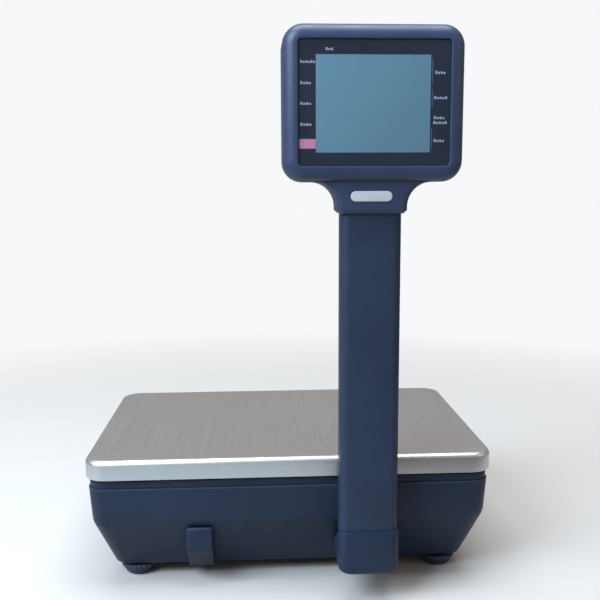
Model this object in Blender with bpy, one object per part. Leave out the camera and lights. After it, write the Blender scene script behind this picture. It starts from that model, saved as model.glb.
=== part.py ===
"""Retail price scale with a pole display, a weighing platter and an operator keypad.

Sizes are in millimetres and become metres when a mesh is made.  x runs to the right as the
customer sees the scale, y from the customer towards the operator, and z up from the table.
Sizes and places are measured from the middle of the platter, and centring_shift() then moves
the whole object so that the middle of its box stands over the origin.
"""

import math

import bmesh
import bpy
from mathutils import Matrix, Vector

MM = 0.001
GAP = 0.4                 # clearance between pieces that rest on each other
OVER = 5.0                # how far a cutter runs past the wall that it cuts
ROOT = 1.0                # how far a piece that stands on a wall reaches into it
ARC_STEPS = 5             # segments in a quarter turn of a rounded outline
CORNER_STEPS = 2          # the same for small corners
ROUND_STEPS = 24          # segments round a turned piece
SHARP_ANGLE = 30.0        # edges that turn more than this stay sharp in the shading

# Platter: a steel sheet folded down all round.
PLATTER_WIDTH = 370.0
PLATTER_DEPTH = 240.0
PLATTER_TOP = 124.5
PLATTER_RIM = 17.8
PLATTER_SHEET = 1.5
PLATTER_CORNER = 20.0
PLATTER_FOLD = 2.5        # radius of the fold round the top
FOLD_STEPS = 3

# Housing: a tub with sloping sides below a crease, and a cover with the console on it.
WALL = 3.0
FLOOR_Z = 12.0
CREASE_Z = 64.5
SEAM_Z = 97.5
COVER_RISE = 7.3          # from the seam up to the deck
SEAM_GAP = 0.4
RIM_OVERHANG = 2.6        # how far the platter stands out past the housing
BAND_TAPER = 2.0          # how much narrower the crease is than the seam, each side
BASE_INSET = 28.0         # how far in from the crease the floor's customer and operator edges are
SIDE_INSET = 15.0         # the same for its left and right edges
HOUSING_CORNER = 15.0
CONSOLE_START = 4.0       # from the platter's edge to the top of the sloping console
CONSOLE_REACH = 82.0      # from the top of the console to its lower edge
CONSOLE_DROP = 39.0       # how far the console falls over that reach

# Load cell and what it carries.
CHASSIS_SIZE = (160.0, 52.0, 3.0)
CELL_SIZE = (130.0, 30.0, 22.0)
CELL_EYE = 7.0            # radius of the two eyes that make the cell flexible
CELL_EYE_SPREAD = 34.0
SPACER_SIZE = (30.0, 28.0, 6.0)
POST_OFFSET = 50.0
POST_SIZE = (24.0, 34.0)
POST_CLEARANCE = 8.0
SPIDER_THICKNESS = 5.0
SPIDER_HUB = (136.0, 62.0)
SPIDER_ARM = 24.0
SPIDER_ARM_THINNER = 0.75 # how much thinner an arm is than the hub
BUMPER_RADIUS = 10.0
BUMPER_HEIGHT = 9.8
BUMPER_INSET = 34.0       # from the platter's edges to the middle of a bumper
BUMPER_EDGE = 1.5

# Levelling feet.
FOOT_INSET = 11.0         # from the floor's customer and operator edges to the middle of a foot
FOOT_SIDE_INSET = 21.4    # from its left and right edges
CUSTOMER_FOOT_SETBACK = 4.0
STUD_RADIUS = 4.0
STUD_HEIGHT = 30.0
PAD_HEIGHT = 4.4
PAD_PROFILE = ((8.0, 0.0), (10.5, 0.7), (12.6, 2.2), (13.6, PAD_HEIGHT))
WHEEL_RADIUS = 16.8
WHEEL_HEIGHT = 6.0
WHEEL_FLARE = (2.6, 2.6)  # how far the wheel's lower edge is drawn in, and over what height
WHEEL_EDGE = 0.8
BOSS_RADIUS = 7.5
BOSS_HEIGHT = 26.0

# Battery, its pocket and its door, at the customer's side of the floor.
BATTERY_SIZE = (100.0, 46.0, 66.0)
BATTERY_X = -70.0
POCKET_CLEARANCE = 2.0
POCKET_WALL = 2.0
POCKET_EDGE = 6.4         # from the floor's edge to the inside of the pocket
DOOR_THICKNESS = 2.4
DOOR_RECESS = 0.2         # how far the door's face lies inside the floor's
DOOR_BARREL = 3.2
DOOR_PIN_RADIUS = 1.5
DOOR_PLAY = 0.6           # from the barrel to the pocket's wall and to the battery
DOOR_AXIS_LIFT = 2.2      # from the floor's underside up to the hinge's axis
TAB_X = -83.0
TAB_WIDTH = 24.0
TAB_TOP = 59.5
TAB_STEP = 37.0           # where the tab's upright face ends and its chamfer begins
TAB_PROUD = 2.0           # how far the tab's face stands out from the crease
TAB_HOOK = 1.4            # how far the tab passes below the floor
TAB_TOE = 3.75            # from the floor's edge out to the foot of the chamfer
TAB_ROOT = 10.0           # how far the tab reaches in under the door's plate

# Power switch and inlet on the right-hand side.
SWITCH_Y = 72.0
INLET_Y = 22.0
SIDE_FITTING_Z = 80.5
FLANGE_EDGE = 0.5
SWITCH_CORNER = 1.0
INLET_CORNER = 2.5
SWITCH_BODY = (15.5, 22.0, 18.0)
SWITCH_FLANGE = (20.0, 26.0, 1.6)
SWITCH_WELL = 7.0
ROCKER_SIZE = (10.6, 15.2)
ROCKER_TOP = (2.6, 0.8)   # height of the rocker's ends and of its middle over the wall
ROCKER_KEEL = 4.0         # how deep the rocker's middle reaches
ROCKER_AXIS = -1.0        # height of the rocker's axis over the wall
ROCKER_GAP = 1.1
ROCKER_TILT = 10.0
INLET_BODY = (27.2, 19.6, 20.0)
INLET_FLANGE = (50.0, 23.0, 2.4)
INLET_SOCKET = (24.2, 16.6, 15.0)

# Keypad on the console.
KEY_ROWS = 4
KEY_COLUMNS = 5
KEY_PITCH = (30.0, 18.5)
KEY_SIZE = (25.0, 14.6)
KEY_CORNER = 2.0
KEY_PROUD = 4.2
KEY_TRAVEL = 2.5
KEY_SLACK = 0.5           # clearance round a key in the bezel
KEY_FLANGE = 1.2          # how far a key's flange stands out under the bezel, and its thickness
KEY_EDGE = 1.0            # width of the chamfer round a key's top
KEY_CLEARANCE = 0.6       # from the cover's underside to a key's flange
KEYPAD_CENTRE = 62.0
BEZEL_MARGIN = 5.0
BEZEL_THICKNESS = 2.0
BEZEL_SINK = 1.2
BEZEL_LEDGE = 3.0
KEYPAD_BOARD_THICKNESS = 1.6
KEYPAD_BOARD_SPACE = 1.4  # from a pressed key down to the board
LEVEL_PLACE = (-152.0, 20.0)
LEVEL_RADIUS = 9.0
LEVEL_DEPTH = 8.0
LEVEL_PROFILE = ((11.5, GAP), (11.5, 1.3), (10.9, 1.9))

# Main board.
MAIN_BOARD_SIZE = (140.0, 96.0, 1.6)
MAIN_BOARD_CENTRE = (78.0, 98.0)
MAIN_BOARD_LIFT = 7.0
STANDOFF_RADIUS = 4.0
STANDOFF_INSET = 8.0
# Each of the board's parts: its place from the board's middle, its size and its height.
BOARD_PARTS = (
    (-42.0, 20.0, 22.0, 22.0, 3.0),
    (10.0, 22.0, 14.0, 30.0, 3.0),
    (-40.0, -26.0, 30.0, 22.0, 18.0),
    (30.0, -24.0, 20.0, 14.0, 11.0),
    (52.0, 18.0, 12.0, 34.0, 9.0),
)

# Pole, its bracket and the cable inside it.
POLE_X = 66.4
POLE_WIDTH = 50.4
POLE_DEPTH = 28.0
POLE_WALL = 2.2
POLE_CORNER = 8.0
POLE_STANDOFF = 4.0       # from the platter's edge to the back of the pole
POLE_BOTTOM = 50.0
POLE_TOP = 366.0
BRACKET_BOTTOM = 27.5
BRACKET_TOP = 67.5
BRACKET_ARM_TOP = 92.0
BRACKET_ARM_WIDTH = 40.0
BRACKET_WALL = 1.5
CABLE_RADIUS = 3.0
CABLE_BEND = 12.0
CABLE_Z = 40.0
CABLE_PASSAGE = (17.0, 14.0)
CABLE_END_INSIDE = 22.0
CABLE_BEND_STEPS = 6
CABLE_SPACING = 15.0

# Display head: two shells that meet on the pole's middle plane.
HEAD_WIDTH = 146.0
HEAD_BOTTOM = 367.5
HEAD_TOP = 491.0
HEAD_DEPTH = 50.0
HEAD_CORNER = 17.0
HEAD_WALL = 2.5
HEAD_BEVEL = 11.0
BEVEL_STEPS = 3
HEAD_LINING_DRAW = 3.0    # how much the hollow narrows towards the window
NECK_HALF_WIDTH = 29.0
NECK_FILLET = 20.0
NECK_BOTTOM = 342.0
NECK_CHAMFER = 2.6
NECK_WALL = 3.2
WINDOW_SIZE = (120.6, 97.2)
WINDOW_THICKNESS = 1.9
WINDOW_SINK = 1.8
WINDOW_LEDGE = 4.5
WINDOW_CORNER = 3.0
LCD_SIZE = (98.0, 81.0, 5.0)
DISPLAY_BOARD_SIZE = (112.0, 84.0, 1.6)

# Places that follow from the sizes above.
PLATTER_CUSTOMER = -PLATTER_DEPTH / 2
PLATTER_OPERATOR = PLATTER_DEPTH / 2
DECK_Z = SEAM_Z + COVER_RISE
CONSOLE_TOP_Y = PLATTER_OPERATOR + CONSOLE_START
CONSOLE_FRONT_Y = CONSOLE_TOP_Y + CONSOLE_REACH
CONSOLE_TILT = math.atan2(CONSOLE_DROP, CONSOLE_REACH)
SEAM_HALF_WIDTH = PLATTER_WIDTH / 2 - RIM_OVERHANG
CREASE_HALF_WIDTH = SEAM_HALF_WIDTH - BAND_TAPER
FLOOR_HALF_WIDTH = CREASE_HALF_WIDTH - SIDE_INSET
CREASE_CUSTOMER = PLATTER_CUSTOMER + RIM_OVERHANG + BAND_TAPER
FLOOR_CUSTOMER = CREASE_CUSTOMER + BASE_INSET
FLOOR_OPERATOR = CONSOLE_FRONT_Y - BASE_INSET
FLOOR_TOP = FLOOR_Z + WALL
BAND_SLOPE = BAND_TAPER / (SEAM_Z - CREASE_Z)
BASE_SLOPE = BASE_INSET / (CREASE_Z - FLOOR_Z)
SIDE_SLOPE = SIDE_INSET / (CREASE_Z - FLOOR_Z)

CHASSIS_Z = FLOOR_TOP + GAP
LOWER_SPACER_Z = CHASSIS_Z + CHASSIS_SIZE[2] + GAP
CELL_Z = LOWER_SPACER_Z + SPACER_SIZE[2] + GAP
POST_Z = CELL_Z + CELL_SIZE[2] + GAP
PLATTER_UNDERSIDE = PLATTER_TOP - PLATTER_SHEET
BUMPER_Z = PLATTER_UNDERSIDE - GAP - BUMPER_HEIGHT
SPIDER_Z = BUMPER_Z - GAP - SPIDER_THICKNESS
BUMPER_X = PLATTER_WIDTH / 2 - BUMPER_INSET
BUMPER_Y = PLATTER_DEPTH / 2 - BUMPER_INSET

WHEEL_Z = PAD_HEIGHT + GAP
FOOT_X = FLOOR_HALF_WIDTH - FOOT_SIDE_INSET
FEET = {
    "customer_left": (-FOOT_X, FLOOR_CUSTOMER + FOOT_INSET + CUSTOMER_FOOT_SETBACK),
    "customer_right": (FOOT_X, FLOOR_CUSTOMER + FOOT_INSET + CUSTOMER_FOOT_SETBACK),
    "operator_left": (-FOOT_X, FLOOR_OPERATOR - FOOT_INSET),
    "operator_right": (FOOT_X, FLOOR_OPERATOR - FOOT_INSET),
}

POCKET_X = (
    BATTERY_X - BATTERY_SIZE[0] / 2 - POCKET_CLEARANCE,
    BATTERY_X + BATTERY_SIZE[0] / 2 + POCKET_CLEARANCE,
)
POCKET_Y = (
    FLOOR_CUSTOMER + POCKET_EDGE,
    FLOOR_CUSTOMER + POCKET_EDGE + BATTERY_SIZE[1] + 2 * POCKET_CLEARANCE,
)
DOOR_AXIS_Y = POCKET_Y[1] - DOOR_BARREL - DOOR_PLAY
DOOR_AXIS_Z = FLOOR_Z + DOOR_AXIS_LIFT
BATTERY_Z = DOOR_AXIS_Z + DOOR_BARREL + DOOR_PLAY
POCKET_TOP = BATTERY_Z + BATTERY_SIZE[2] + POCKET_CLEARANCE

KEYPAD_SIZE = (
    (KEY_COLUMNS - 1) * KEY_PITCH[0] + KEY_SIZE[0] + 2 * BEZEL_MARGIN,
    (KEY_ROWS - 1) * KEY_PITCH[1] + KEY_SIZE[1] + 2 * BEZEL_MARGIN,
)
KEY_FOOT = -(WALL + KEY_CLEARANCE)
KEYPAD_BOARD_C = KEY_FOOT - KEY_TRAVEL - KEYPAD_BOARD_SPACE

POLE_BACK = PLATTER_CUSTOMER - POLE_STANDOFF
POLE_FRONT = POLE_BACK - POLE_DEPTH
POLE_Y = (POLE_FRONT + POLE_BACK) / 2
HEAD_FRONT = POLE_Y - HEAD_DEPTH / 2
HEAD_MIDDLE_Z = (HEAD_BOTTOM + HEAD_TOP) / 2


def centring_shift():
    """How far y moves so that the object's box is centred on the origin."""
    return -(min(HEAD_FRONT, POLE_FRONT) + CONSOLE_FRONT_Y) / 2


def remove_everything():
    for item in list(bpy.data.objects):
        bpy.data.objects.remove(item, do_unlink=True)


def make_material(name, colour, roughness, metallic=0.0):
    material = bpy.data.materials.new(name)
    material.use_nodes = True
    shader = material.node_tree.nodes["Principled BSDF"]
    shader.inputs["Base Color"].default_value = (*colour, 1.0)
    shader.inputs["Roughness"].default_value = roughness
    shader.inputs["Metallic"].default_value = metallic
    material.diffuse_color = (*colour, 1.0)
    return material


# ---------------------------------------------------------------- outlines and solids

def rounded_outline(half_a, half_b, radius, centre=(0.0, 0.0), steps=ARC_STEPS):
    """Corners of a rounded rectangle, anticlockwise, as (a, b) pairs."""
    radius = min(radius, half_a, half_b)
    points = []
    for quarter, (sign_a, sign_b) in enumerate(((1, 1), (-1, 1), (-1, -1), (1, -1))):
        middle_a = centre[0] + sign_a * (half_a - radius)
        middle_b = centre[1] + sign_b * (half_b - radius)
        for step in range(steps + 1):
            angle = math.radians(90.0 * (quarter + step / steps))
            points.append((middle_a + radius * math.cos(angle),
                           middle_b + radius * math.sin(angle)))
    return points


def circle_outline(radius, centre=(0.0, 0.0), steps=ROUND_STEPS):
    turns = [2 * math.pi * step / steps for step in range(steps)]
    return [(centre[0] + radius * math.cos(t), centre[1] + radius * math.sin(t)) for t in turns]


def at_height(outline, z):
    return [Vector((a, b, z)) for a, b in outline]


def skin(rings, closed=False, frame=None):
    """A closed solid through rings of equal length; closed joins the last ring to the first."""
    mesh = bmesh.new()
    shift = Vector((0.0, centring_shift(), 0.0))
    grid = []
    for ring in rings:
        placed = [(frame @ p if frame else p) for p in ring]
        grid.append([mesh.verts.new((p + shift) * MM) for p in placed])
    pairs = list(zip(grid, grid[1:]))
    if closed:
        pairs.append((grid[-1], grid[0]))
    for low, high in pairs:
        for i in range(len(low)):
            j = (i + 1) % len(low)
            mesh.faces.new((low[i], low[j], high[j], high[i]))
    if not closed:
        mesh.faces.new(reversed(grid[0]))
        mesh.faces.new(grid[-1])
    bmesh.ops.recalc_face_normals(mesh, faces=mesh.faces)
    data = bpy.data.meshes.new("solid")
    mesh.to_mesh(data)
    mesh.free()
    solid = bpy.data.objects.new("solid", data)
    bpy.context.scene.collection.objects.link(solid)
    return solid


def box(x, y, z, frame=None):
    corners = ((x[0], y[0]), (x[1], y[0]), (x[1], y[1]), (x[0], y[1]))
    return skin([at_height(corners, z[0]), at_height(corners, z[1])], frame=frame)


def centred_box(size_a, size_b, c, centre=(0.0, 0.0), frame=None):
    return box((centre[0] - size_a / 2, centre[0] + size_a / 2),
               (centre[1] - size_b / 2, centre[1] + size_b / 2), c, frame)


def column(outline, low, high, frame=None):
    return skin([at_height(outline, low), at_height(outline, high)], frame=frame)


def prism_along_x(outline, low, high):
    """Extrude a (y, z) outline along x."""
    return skin([[Vector((x, y, z)) for y, z in outline] for x in (low, high)])


def prism_along_y(outline, low, high):
    """Extrude an (x, z) outline along y."""
    return skin([[Vector((x, y, z)) for x, z in outline] for y in (low, high)])


def turned(profile, centre=(0.0, 0.0), hollow=False, frame=None):
    """Turn (radius, height) pairs about an upright axis; hollow closes them into a ring."""
    rings = [at_height(circle_outline(radius, centre), z) for radius, z in profile]
    return skin(rings, closed=hollow, frame=frame)


def rod_along_x(radius, low, high, y, z):
    return prism_along_x(circle_outline(radius, (y, z)), low, high)


def combine(solid, tool, operation):
    """Apply an exact Boolean of tool on solid, and remove the tool."""
    step = solid.modifiers.new("combine", "BOOLEAN")
    step.operation = operation
    step.solver = "EXACT"
    step.object = tool
    evaluated = solid.evaluated_get(bpy.context.evaluated_depsgraph_get())
    data = bpy.data.meshes.new_from_object(evaluated)
    solid.modifiers.clear()
    solid.data = data
    bpy.data.objects.remove(tool, do_unlink=True)


def cut(solid, *tools):
    for tool in tools:
        combine(solid, tool, "DIFFERENCE")
    return solid


def join(solid, *tools):
    for tool in tools:
        combine(solid, tool, "UNION")
    return solid


def keep(solid, tool):
    combine(solid, tool, "INTERSECT")
    return solid


def finish(solid, name, material, pivot=None):
    """Name the piece, give it its material and, if it moves, put its origin on its axis."""
    solid.name = name
    solid.data.name = name
    solid.data.materials.clear()
    solid.data.materials.append(material)
    solid.data.shade_smooth()
    solid.data.set_sharp_from_angle(angle=math.radians(SHARP_ANGLE))
    if pivot is not None:
        origin = (Vector(pivot) + Vector((0.0, centring_shift(), 0.0))) * MM
        solid.data.transform(Matrix.Translation(-origin))
        solid.location = origin
    return solid


# ---------------------------------------------------------------- housing

def inward(z, slope):
    """How far inside its crease a wall stands at a height, if slope is its slope below the crease."""
    return (CREASE_Z - z) * (slope if z < CREASE_Z else BAND_SLOPE)


def half_width_at(z):
    """Half the housing's width at a height."""
    return CREASE_HALF_WIDTH - inward(z, SIDE_SLOPE)


def customer_wall_at(z):
    """Where the customer's side of the housing stands at a height."""
    return CREASE_CUSTOMER + inward(z, BASE_SLOPE)


def deck_at(y):
    """Height of the cover over a place in depth."""
    run = min(max(y - CONSOLE_TOP_Y, 0.0), CONSOLE_REACH + OVER)
    return DECK_Z - run * CONSOLE_DROP / CONSOLE_REACH


def housing_block(inset):
    """The housing's outline, drawn in by inset, from the floor to above the deck."""
    rings = []
    for z in (FLOOR_Z, CREASE_Z, DECK_Z + OVER):
        half = half_width_at(z) - inset
        low = customer_wall_at(z) + inset
        high = CONSOLE_FRONT_Y - inward(z, BASE_SLOPE) - inset
        outline = rounded_outline(half, (high - low) / 2, HOUSING_CORNER - inset,
                                  (0.0, (low + high) / 2))
        rings.append(at_height(outline, z))
    return skin(rings)


def slab_under_deck(drop, base):
    """Everything from base up to a surface that lies drop below the deck."""
    low = PLATTER_CUSTOMER - OVER
    high = CONSOLE_FRONT_Y + OVER
    outline = ((low, base), (high, base), (high, deck_at(high) - drop),
               (CONSOLE_TOP_Y, DECK_Z - drop), (low, DECK_Z - drop))
    return prism_along_x(outline, -PLATTER_WIDTH, PLATTER_WIDTH)


def hollow_inside():
    """The space inside the housing, above the floor and below the deck."""
    return keep(housing_block(WALL), slab_under_deck(WALL, FLOOR_TOP))


def side_frame(y):
    """Frame on the right-hand wall: a towards the operator, b up the wall, c outwards."""
    tilt = math.atan(BAND_SLOPE)
    a = Vector((0.0, 1.0, 0.0))
    b = Vector((math.sin(tilt), 0.0, math.cos(tilt)))
    c = Vector((math.cos(tilt), 0.0, -math.sin(tilt)))
    turn = Matrix((a, b, c)).transposed().to_4x4()
    return Matrix.Translation((half_width_at(SIDE_FITTING_Z), y, SIDE_FITTING_Z)) @ turn


def console_frame():
    """Frame on the console: a to the operator's right, b up the slope, c out of it."""
    a = Vector((-1.0, 0.0, 0.0))
    b = Vector((0.0, -math.cos(CONSOLE_TILT), math.sin(CONSOLE_TILT)))
    c = Vector((0.0, math.sin(CONSOLE_TILT), math.cos(CONSOLE_TILT)))
    turn = Matrix((a, b, c)).transposed().to_4x4()
    middle = CONSOLE_TOP_Y + CONSOLE_REACH / 2
    return Matrix.Translation((0.0, middle, deck_at(middle))) @ turn


def cable_passage(low, high):
    return box((POLE_X - CABLE_PASSAGE[0] / 2, POLE_X + CABLE_PASSAGE[0] / 2), (low, high),
               (CABLE_Z - CABLE_PASSAGE[1] / 2, CABLE_Z + CABLE_PASSAGE[1] / 2))


def board_corners():
    reach_x = MAIN_BOARD_SIZE[0] / 2 - STANDOFF_INSET
    reach_y = MAIN_BOARD_SIZE[1] / 2 - STANDOFF_INSET
    return [(MAIN_BOARD_CENTRE[0] + sx * reach_x, MAIN_BOARD_CENTRE[1] + sy * reach_y)
            for sx in (-1, 1) for sy in (-1, 1)]


def build_lower_housing(plastic):
    tub = keep(housing_block(0.0), slab_under_deck(COVER_RISE, FLOOR_Z - OVER))
    cut(tub, hollow_inside())
    join(tub, box((POCKET_X[0] - POCKET_WALL, POCKET_X[1] + POCKET_WALL),
                  (POCKET_Y[0] - POCKET_WALL, POCKET_Y[1] + POCKET_WALL),
                  (FLOOR_Z + ROOT, POCKET_TOP + POCKET_WALL)))
    cut(tub, box(POCKET_X, POCKET_Y, (FLOOR_Z - OVER, POCKET_TOP)))
    cut(tub, rod_along_x(DOOR_PIN_RADIUS + GAP / 2, POCKET_X[0] - POCKET_WALL - OVER,
                         POCKET_X[1] + POCKET_WALL + OVER, DOOR_AXIS_Y, DOOR_AXIS_Z))
    for place in FEET.values():
        join(tub, column(circle_outline(BOSS_RADIUS, place), FLOOR_Z + ROOT,
                         FLOOR_Z + BOSS_HEIGHT))
        cut(tub, column(circle_outline(STUD_RADIUS + GAP, place), FLOOR_Z - OVER,
                        FLOOR_Z + BOSS_HEIGHT + OVER))
    for place in board_corners():
        join(tub, column(circle_outline(STANDOFF_RADIUS, place), FLOOR_Z + ROOT,
                         FLOOR_TOP + MAIN_BOARD_LIFT))
    cut(tub, cable_passage(PLATTER_CUSTOMER, FLOOR_CUSTOMER + OVER))
    for y, body in ((SWITCH_Y, SWITCH_BODY), (INLET_Y, INLET_BODY)):
        cut(tub, centred_box(body[0] + 2 * GAP, body[1] + 2 * GAP, (-3 * WALL, OVER),
                             frame=side_frame(y)))
    return finish(tub, "lower_housing", plastic)


def build_upper_housing(plastic):
    cover = cut(housing_block(0.0), slab_under_deck(COVER_RISE - SEAM_GAP, FLOOR_Z - OVER))
    keep(cover, slab_under_deck(0.0, FLOOR_Z))
    cut(cover, hollow_inside())
    hole = rounded_outline(POST_SIZE[0] / 2 + POST_CLEARANCE, POST_SIZE[1] / 2 + POST_CLEARANCE,
                           POST_CLEARANCE, (POST_OFFSET, 0.0))
    cut(cover, column(hole, SEAM_Z, DECK_Z + OVER))
    console = console_frame()
    centre = (KEYPAD_CENTRE, 0.0)
    cut(cover, centred_box(KEYPAD_SIZE[0] + 2 * GAP, KEYPAD_SIZE[1] + 2 * GAP,
                           (-BEZEL_SINK, OVER), centre, console))
    cut(cover, centred_box(KEYPAD_SIZE[0] - 2 * BEZEL_LEDGE, KEYPAD_SIZE[1] - 2 * BEZEL_LEDGE,
                           (-2 * WALL, OVER), centre, console))
    cut(cover, column(circle_outline(LEVEL_RADIUS + GAP, LEVEL_PLACE), -2 * WALL, OVER, console))
    return finish(cover, "upper_housing", plastic)


def build_feet(rubber, plastic):
    """Each foot is a rubber pad on a stud, and a wheel that turns on the stud."""
    pad_profile = (*PAD_PROFILE, (STUD_RADIUS, PAD_HEIGHT), (STUD_RADIUS, STUD_HEIGHT))
    bore = STUD_RADIUS + GAP
    top = WHEEL_Z + WHEEL_HEIGHT
    wheel_profile = ((bore, WHEEL_Z), (WHEEL_RADIUS - WHEEL_FLARE[0], WHEEL_Z),
                     (WHEEL_RADIUS, WHEEL_Z + WHEEL_FLARE[1]), (WHEEL_RADIUS, top - WHEEL_EDGE),
                     (WHEEL_RADIUS - WHEEL_EDGE, top), (bore, top))
    for place_name, place in FEET.items():
        finish(turned(pad_profile, place), "foot_" + place_name, rubber, (*place, 0.0))
        finish(turned(wheel_profile, place, hollow=True), "foot_wheel_" + place_name, plastic,
               (*place, WHEEL_Z))


# ---------------------------------------------------------------- battery

def build_battery(plastic):
    middle = (POCKET_Y[0] + POCKET_Y[1]) / 2
    block = centred_box(BATTERY_SIZE[0], BATTERY_SIZE[1],
                        (BATTERY_Z, BATTERY_Z + BATTERY_SIZE[2]), (BATTERY_X, middle))
    return finish(block, "battery", plastic)


def build_battery_door(plastic):
    """A plate in the floor with a barrel at its hinge and a finger tab up the sloping wall."""
    low_x, high_x = POCKET_X[0] + GAP, POCKET_X[1] - GAP
    low_z = FLOOR_Z + DOOR_RECESS
    door = box((low_x, high_x), (POCKET_Y[0] + GAP, DOOR_AXIS_Y),
               (low_z, low_z + DOOR_THICKNESS))
    join(door, rod_along_x(DOOR_BARREL, low_x, high_x, DOOR_AXIS_Y, DOOR_AXIS_Z))
    cut(door, rod_along_x(DOOR_PIN_RADIUS + GAP / 2, low_x - OVER, high_x + OVER,
                          DOOR_AXIS_Y, DOOR_AXIS_Z))
    hook_z = FLOOR_Z - GAP - TAB_HOOK
    slope = math.atan(BASE_SLOPE)
    step_y, step_z = -GAP * math.cos(slope), -GAP * math.sin(slope)
    face = CREASE_CUSTOMER - TAB_PROUD
    root = POCKET_Y[0] + TAB_ROOT
    outline = (
        (root, hook_z), (root, low_z + ROOT), (POCKET_Y[0] + 2 * GAP, low_z + ROOT),
        (POCKET_Y[0] + 2 * GAP, FLOOR_Z - GAP), (FLOOR_CUSTOMER + step_y, FLOOR_Z + step_z),
        (customer_wall_at(TAB_TOP) + step_y, TAB_TOP + step_z),
        (face, TAB_TOP), (face, TAB_STEP), (FLOOR_CUSTOMER - TAB_TOE, hook_z),
    )
    join(door, prism_along_x(outline, TAB_X - TAB_WIDTH / 2, TAB_X + TAB_WIDTH / 2))
    return finish(door, "battery_door", plastic, (BATTERY_X, DOOR_AXIS_Y, DOOR_AXIS_Z))


def build_battery_door_pin(steel):
    reach = POCKET_WALL - GAP
    pin = rod_along_x(DOOR_PIN_RADIUS, POCKET_X[0] - reach, POCKET_X[1] + reach,
                      DOOR_AXIS_Y, DOOR_AXIS_Z)
    return finish(pin, "battery_door_pin", steel)


# ---------------------------------------------------------------- platter and load cell

def build_platter(steel):
    """A folded pan: the outer skin goes up and over, and the inner skin comes back down."""
    half_x, half_y = PLATTER_WIDTH / 2, PLATTER_DEPTH / 2
    low = PLATTER_TOP - PLATTER_RIM

    def ring(inset, z):
        return at_height(rounded_outline(half_x - inset, half_y - inset,
                                         PLATTER_CORNER - inset), z)

    rings = [ring(PLATTER_SHEET, low), ring(0.0, low)]
    for step in range(FOLD_STEPS + 1):
        angle = math.radians(90.0 * step / FOLD_STEPS)
        rings.append(ring(PLATTER_FOLD * (1 - math.cos(angle)),
                          PLATTER_TOP - PLATTER_FOLD * (1 - math.sin(angle))))
    outside = skin(rings)
    inside = skin([ring(PLATTER_SHEET, low - OVER), ring(PLATTER_SHEET, PLATTER_UNDERSIDE)])
    return finish(cut(outside, inside), "platter", steel, (0.0, 0.0, low))


def build_spider():
    """A hub with four arms; the two bars that make the arms differ in height by a third."""
    spider = centred_box(SPIDER_HUB[0], SPIDER_HUB[1], (SPIDER_Z, SPIDER_Z + SPIDER_THICKNESS))
    length = 2 * math.hypot(BUMPER_X, BUMPER_Y) + SPIDER_ARM
    for side, part in ((-1, 1 / 3), (1, 1)):
        turn = Matrix.Rotation(side * math.atan2(BUMPER_Y, BUMPER_X), 4, "Z")
        low = SPIDER_Z + part * SPIDER_ARM_THINNER
        high = low + SPIDER_THICKNESS - SPIDER_ARM_THINNER
        join(spider, centred_box(length, SPIDER_ARM, (low, high), frame=turn))
    return spider


def build_weighing_parts(aluminium, steel, rubber):
    chassis = centred_box(CHASSIS_SIZE[0], CHASSIS_SIZE[1],
                          (CHASSIS_Z, CHASSIS_Z + CHASSIS_SIZE[2]))
    finish(chassis, "chassis_plate", steel)
    spacer = centred_box(SPACER_SIZE[0], SPACER_SIZE[1],
                         (LOWER_SPACER_Z, LOWER_SPACER_Z + SPACER_SIZE[2]), (-POST_OFFSET, 0.0))
    finish(spacer, "load_cell_spacer", aluminium)

    cell = centred_box(CELL_SIZE[0], CELL_SIZE[1], (CELL_Z, CELL_Z + CELL_SIZE[2]))
    middle_z = CELL_Z + CELL_SIZE[2] / 2
    reach = CELL_SIZE[1] / 2 + OVER
    for x in (-CELL_EYE_SPREAD / 2, CELL_EYE_SPREAD / 2):
        cut(cell, prism_along_y(circle_outline(CELL_EYE, (x, middle_z)), -reach, reach))
    cut(cell, box((-CELL_EYE_SPREAD / 2, CELL_EYE_SPREAD / 2), (-reach, reach),
                  (middle_z - CELL_EYE / 3, middle_z + CELL_EYE / 3)))
    finish(cell, "load_cell", aluminium)

    post = centred_box(POST_SIZE[0], POST_SIZE[1], (POST_Z, SPIDER_Z - GAP), (POST_OFFSET, 0.0))
    finish(post, "support_post", aluminium)

    finish(build_spider(), "platter_support", aluminium)

    corners = {"customer_left": (-1, -1), "customer_right": (1, -1),
               "operator_left": (-1, 1), "operator_right": (1, 1)}
    for corner, (side_x, side_y) in corners.items():
        place = (side_x * BUMPER_X, side_y * BUMPER_Y)
        bumper = turned(((BUMPER_RADIUS, BUMPER_Z),
                         (BUMPER_RADIUS, BUMPER_Z + BUMPER_HEIGHT - BUMPER_EDGE),
                         (BUMPER_RADIUS - BUMPER_EDGE, BUMPER_Z + BUMPER_HEIGHT)), place)
        finish(bumper, "bumper_" + corner, rubber)


# ---------------------------------------------------------------- console

def build_keypad_bezel(plastic):
    console = console_frame()
    low = GAP - BEZEL_SINK
    plate = centred_box(*KEYPAD_SIZE, (low, low + BEZEL_THICKNESS), (KEYPAD_CENTRE, 0.0), console)
    for column_number in range(KEY_COLUMNS):
        for row in range(KEY_ROWS):
            cut(plate, centred_box(KEY_SIZE[0] + 2 * KEY_SLACK, KEY_SIZE[1] + 2 * KEY_SLACK,
                                   (low - OVER, low + BEZEL_THICKNESS + OVER),
                                   key_place(row, column_number), console))
    return finish(plate, "keypad_bezel", plastic)


def key_place(row, column_number):
    a = KEYPAD_CENTRE + (column_number - (KEY_COLUMNS - 1) / 2) * KEY_PITCH[0]
    b = ((KEY_ROWS - 1) / 2 - row) * KEY_PITCH[1]
    return a, b


def key_ring(place, grow, height):
    outline = rounded_outline(KEY_SIZE[0] / 2 + grow, KEY_SIZE[1] / 2 + grow, KEY_CORNER, place,
                              CORNER_STEPS)
    return at_height(outline, height)


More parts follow.
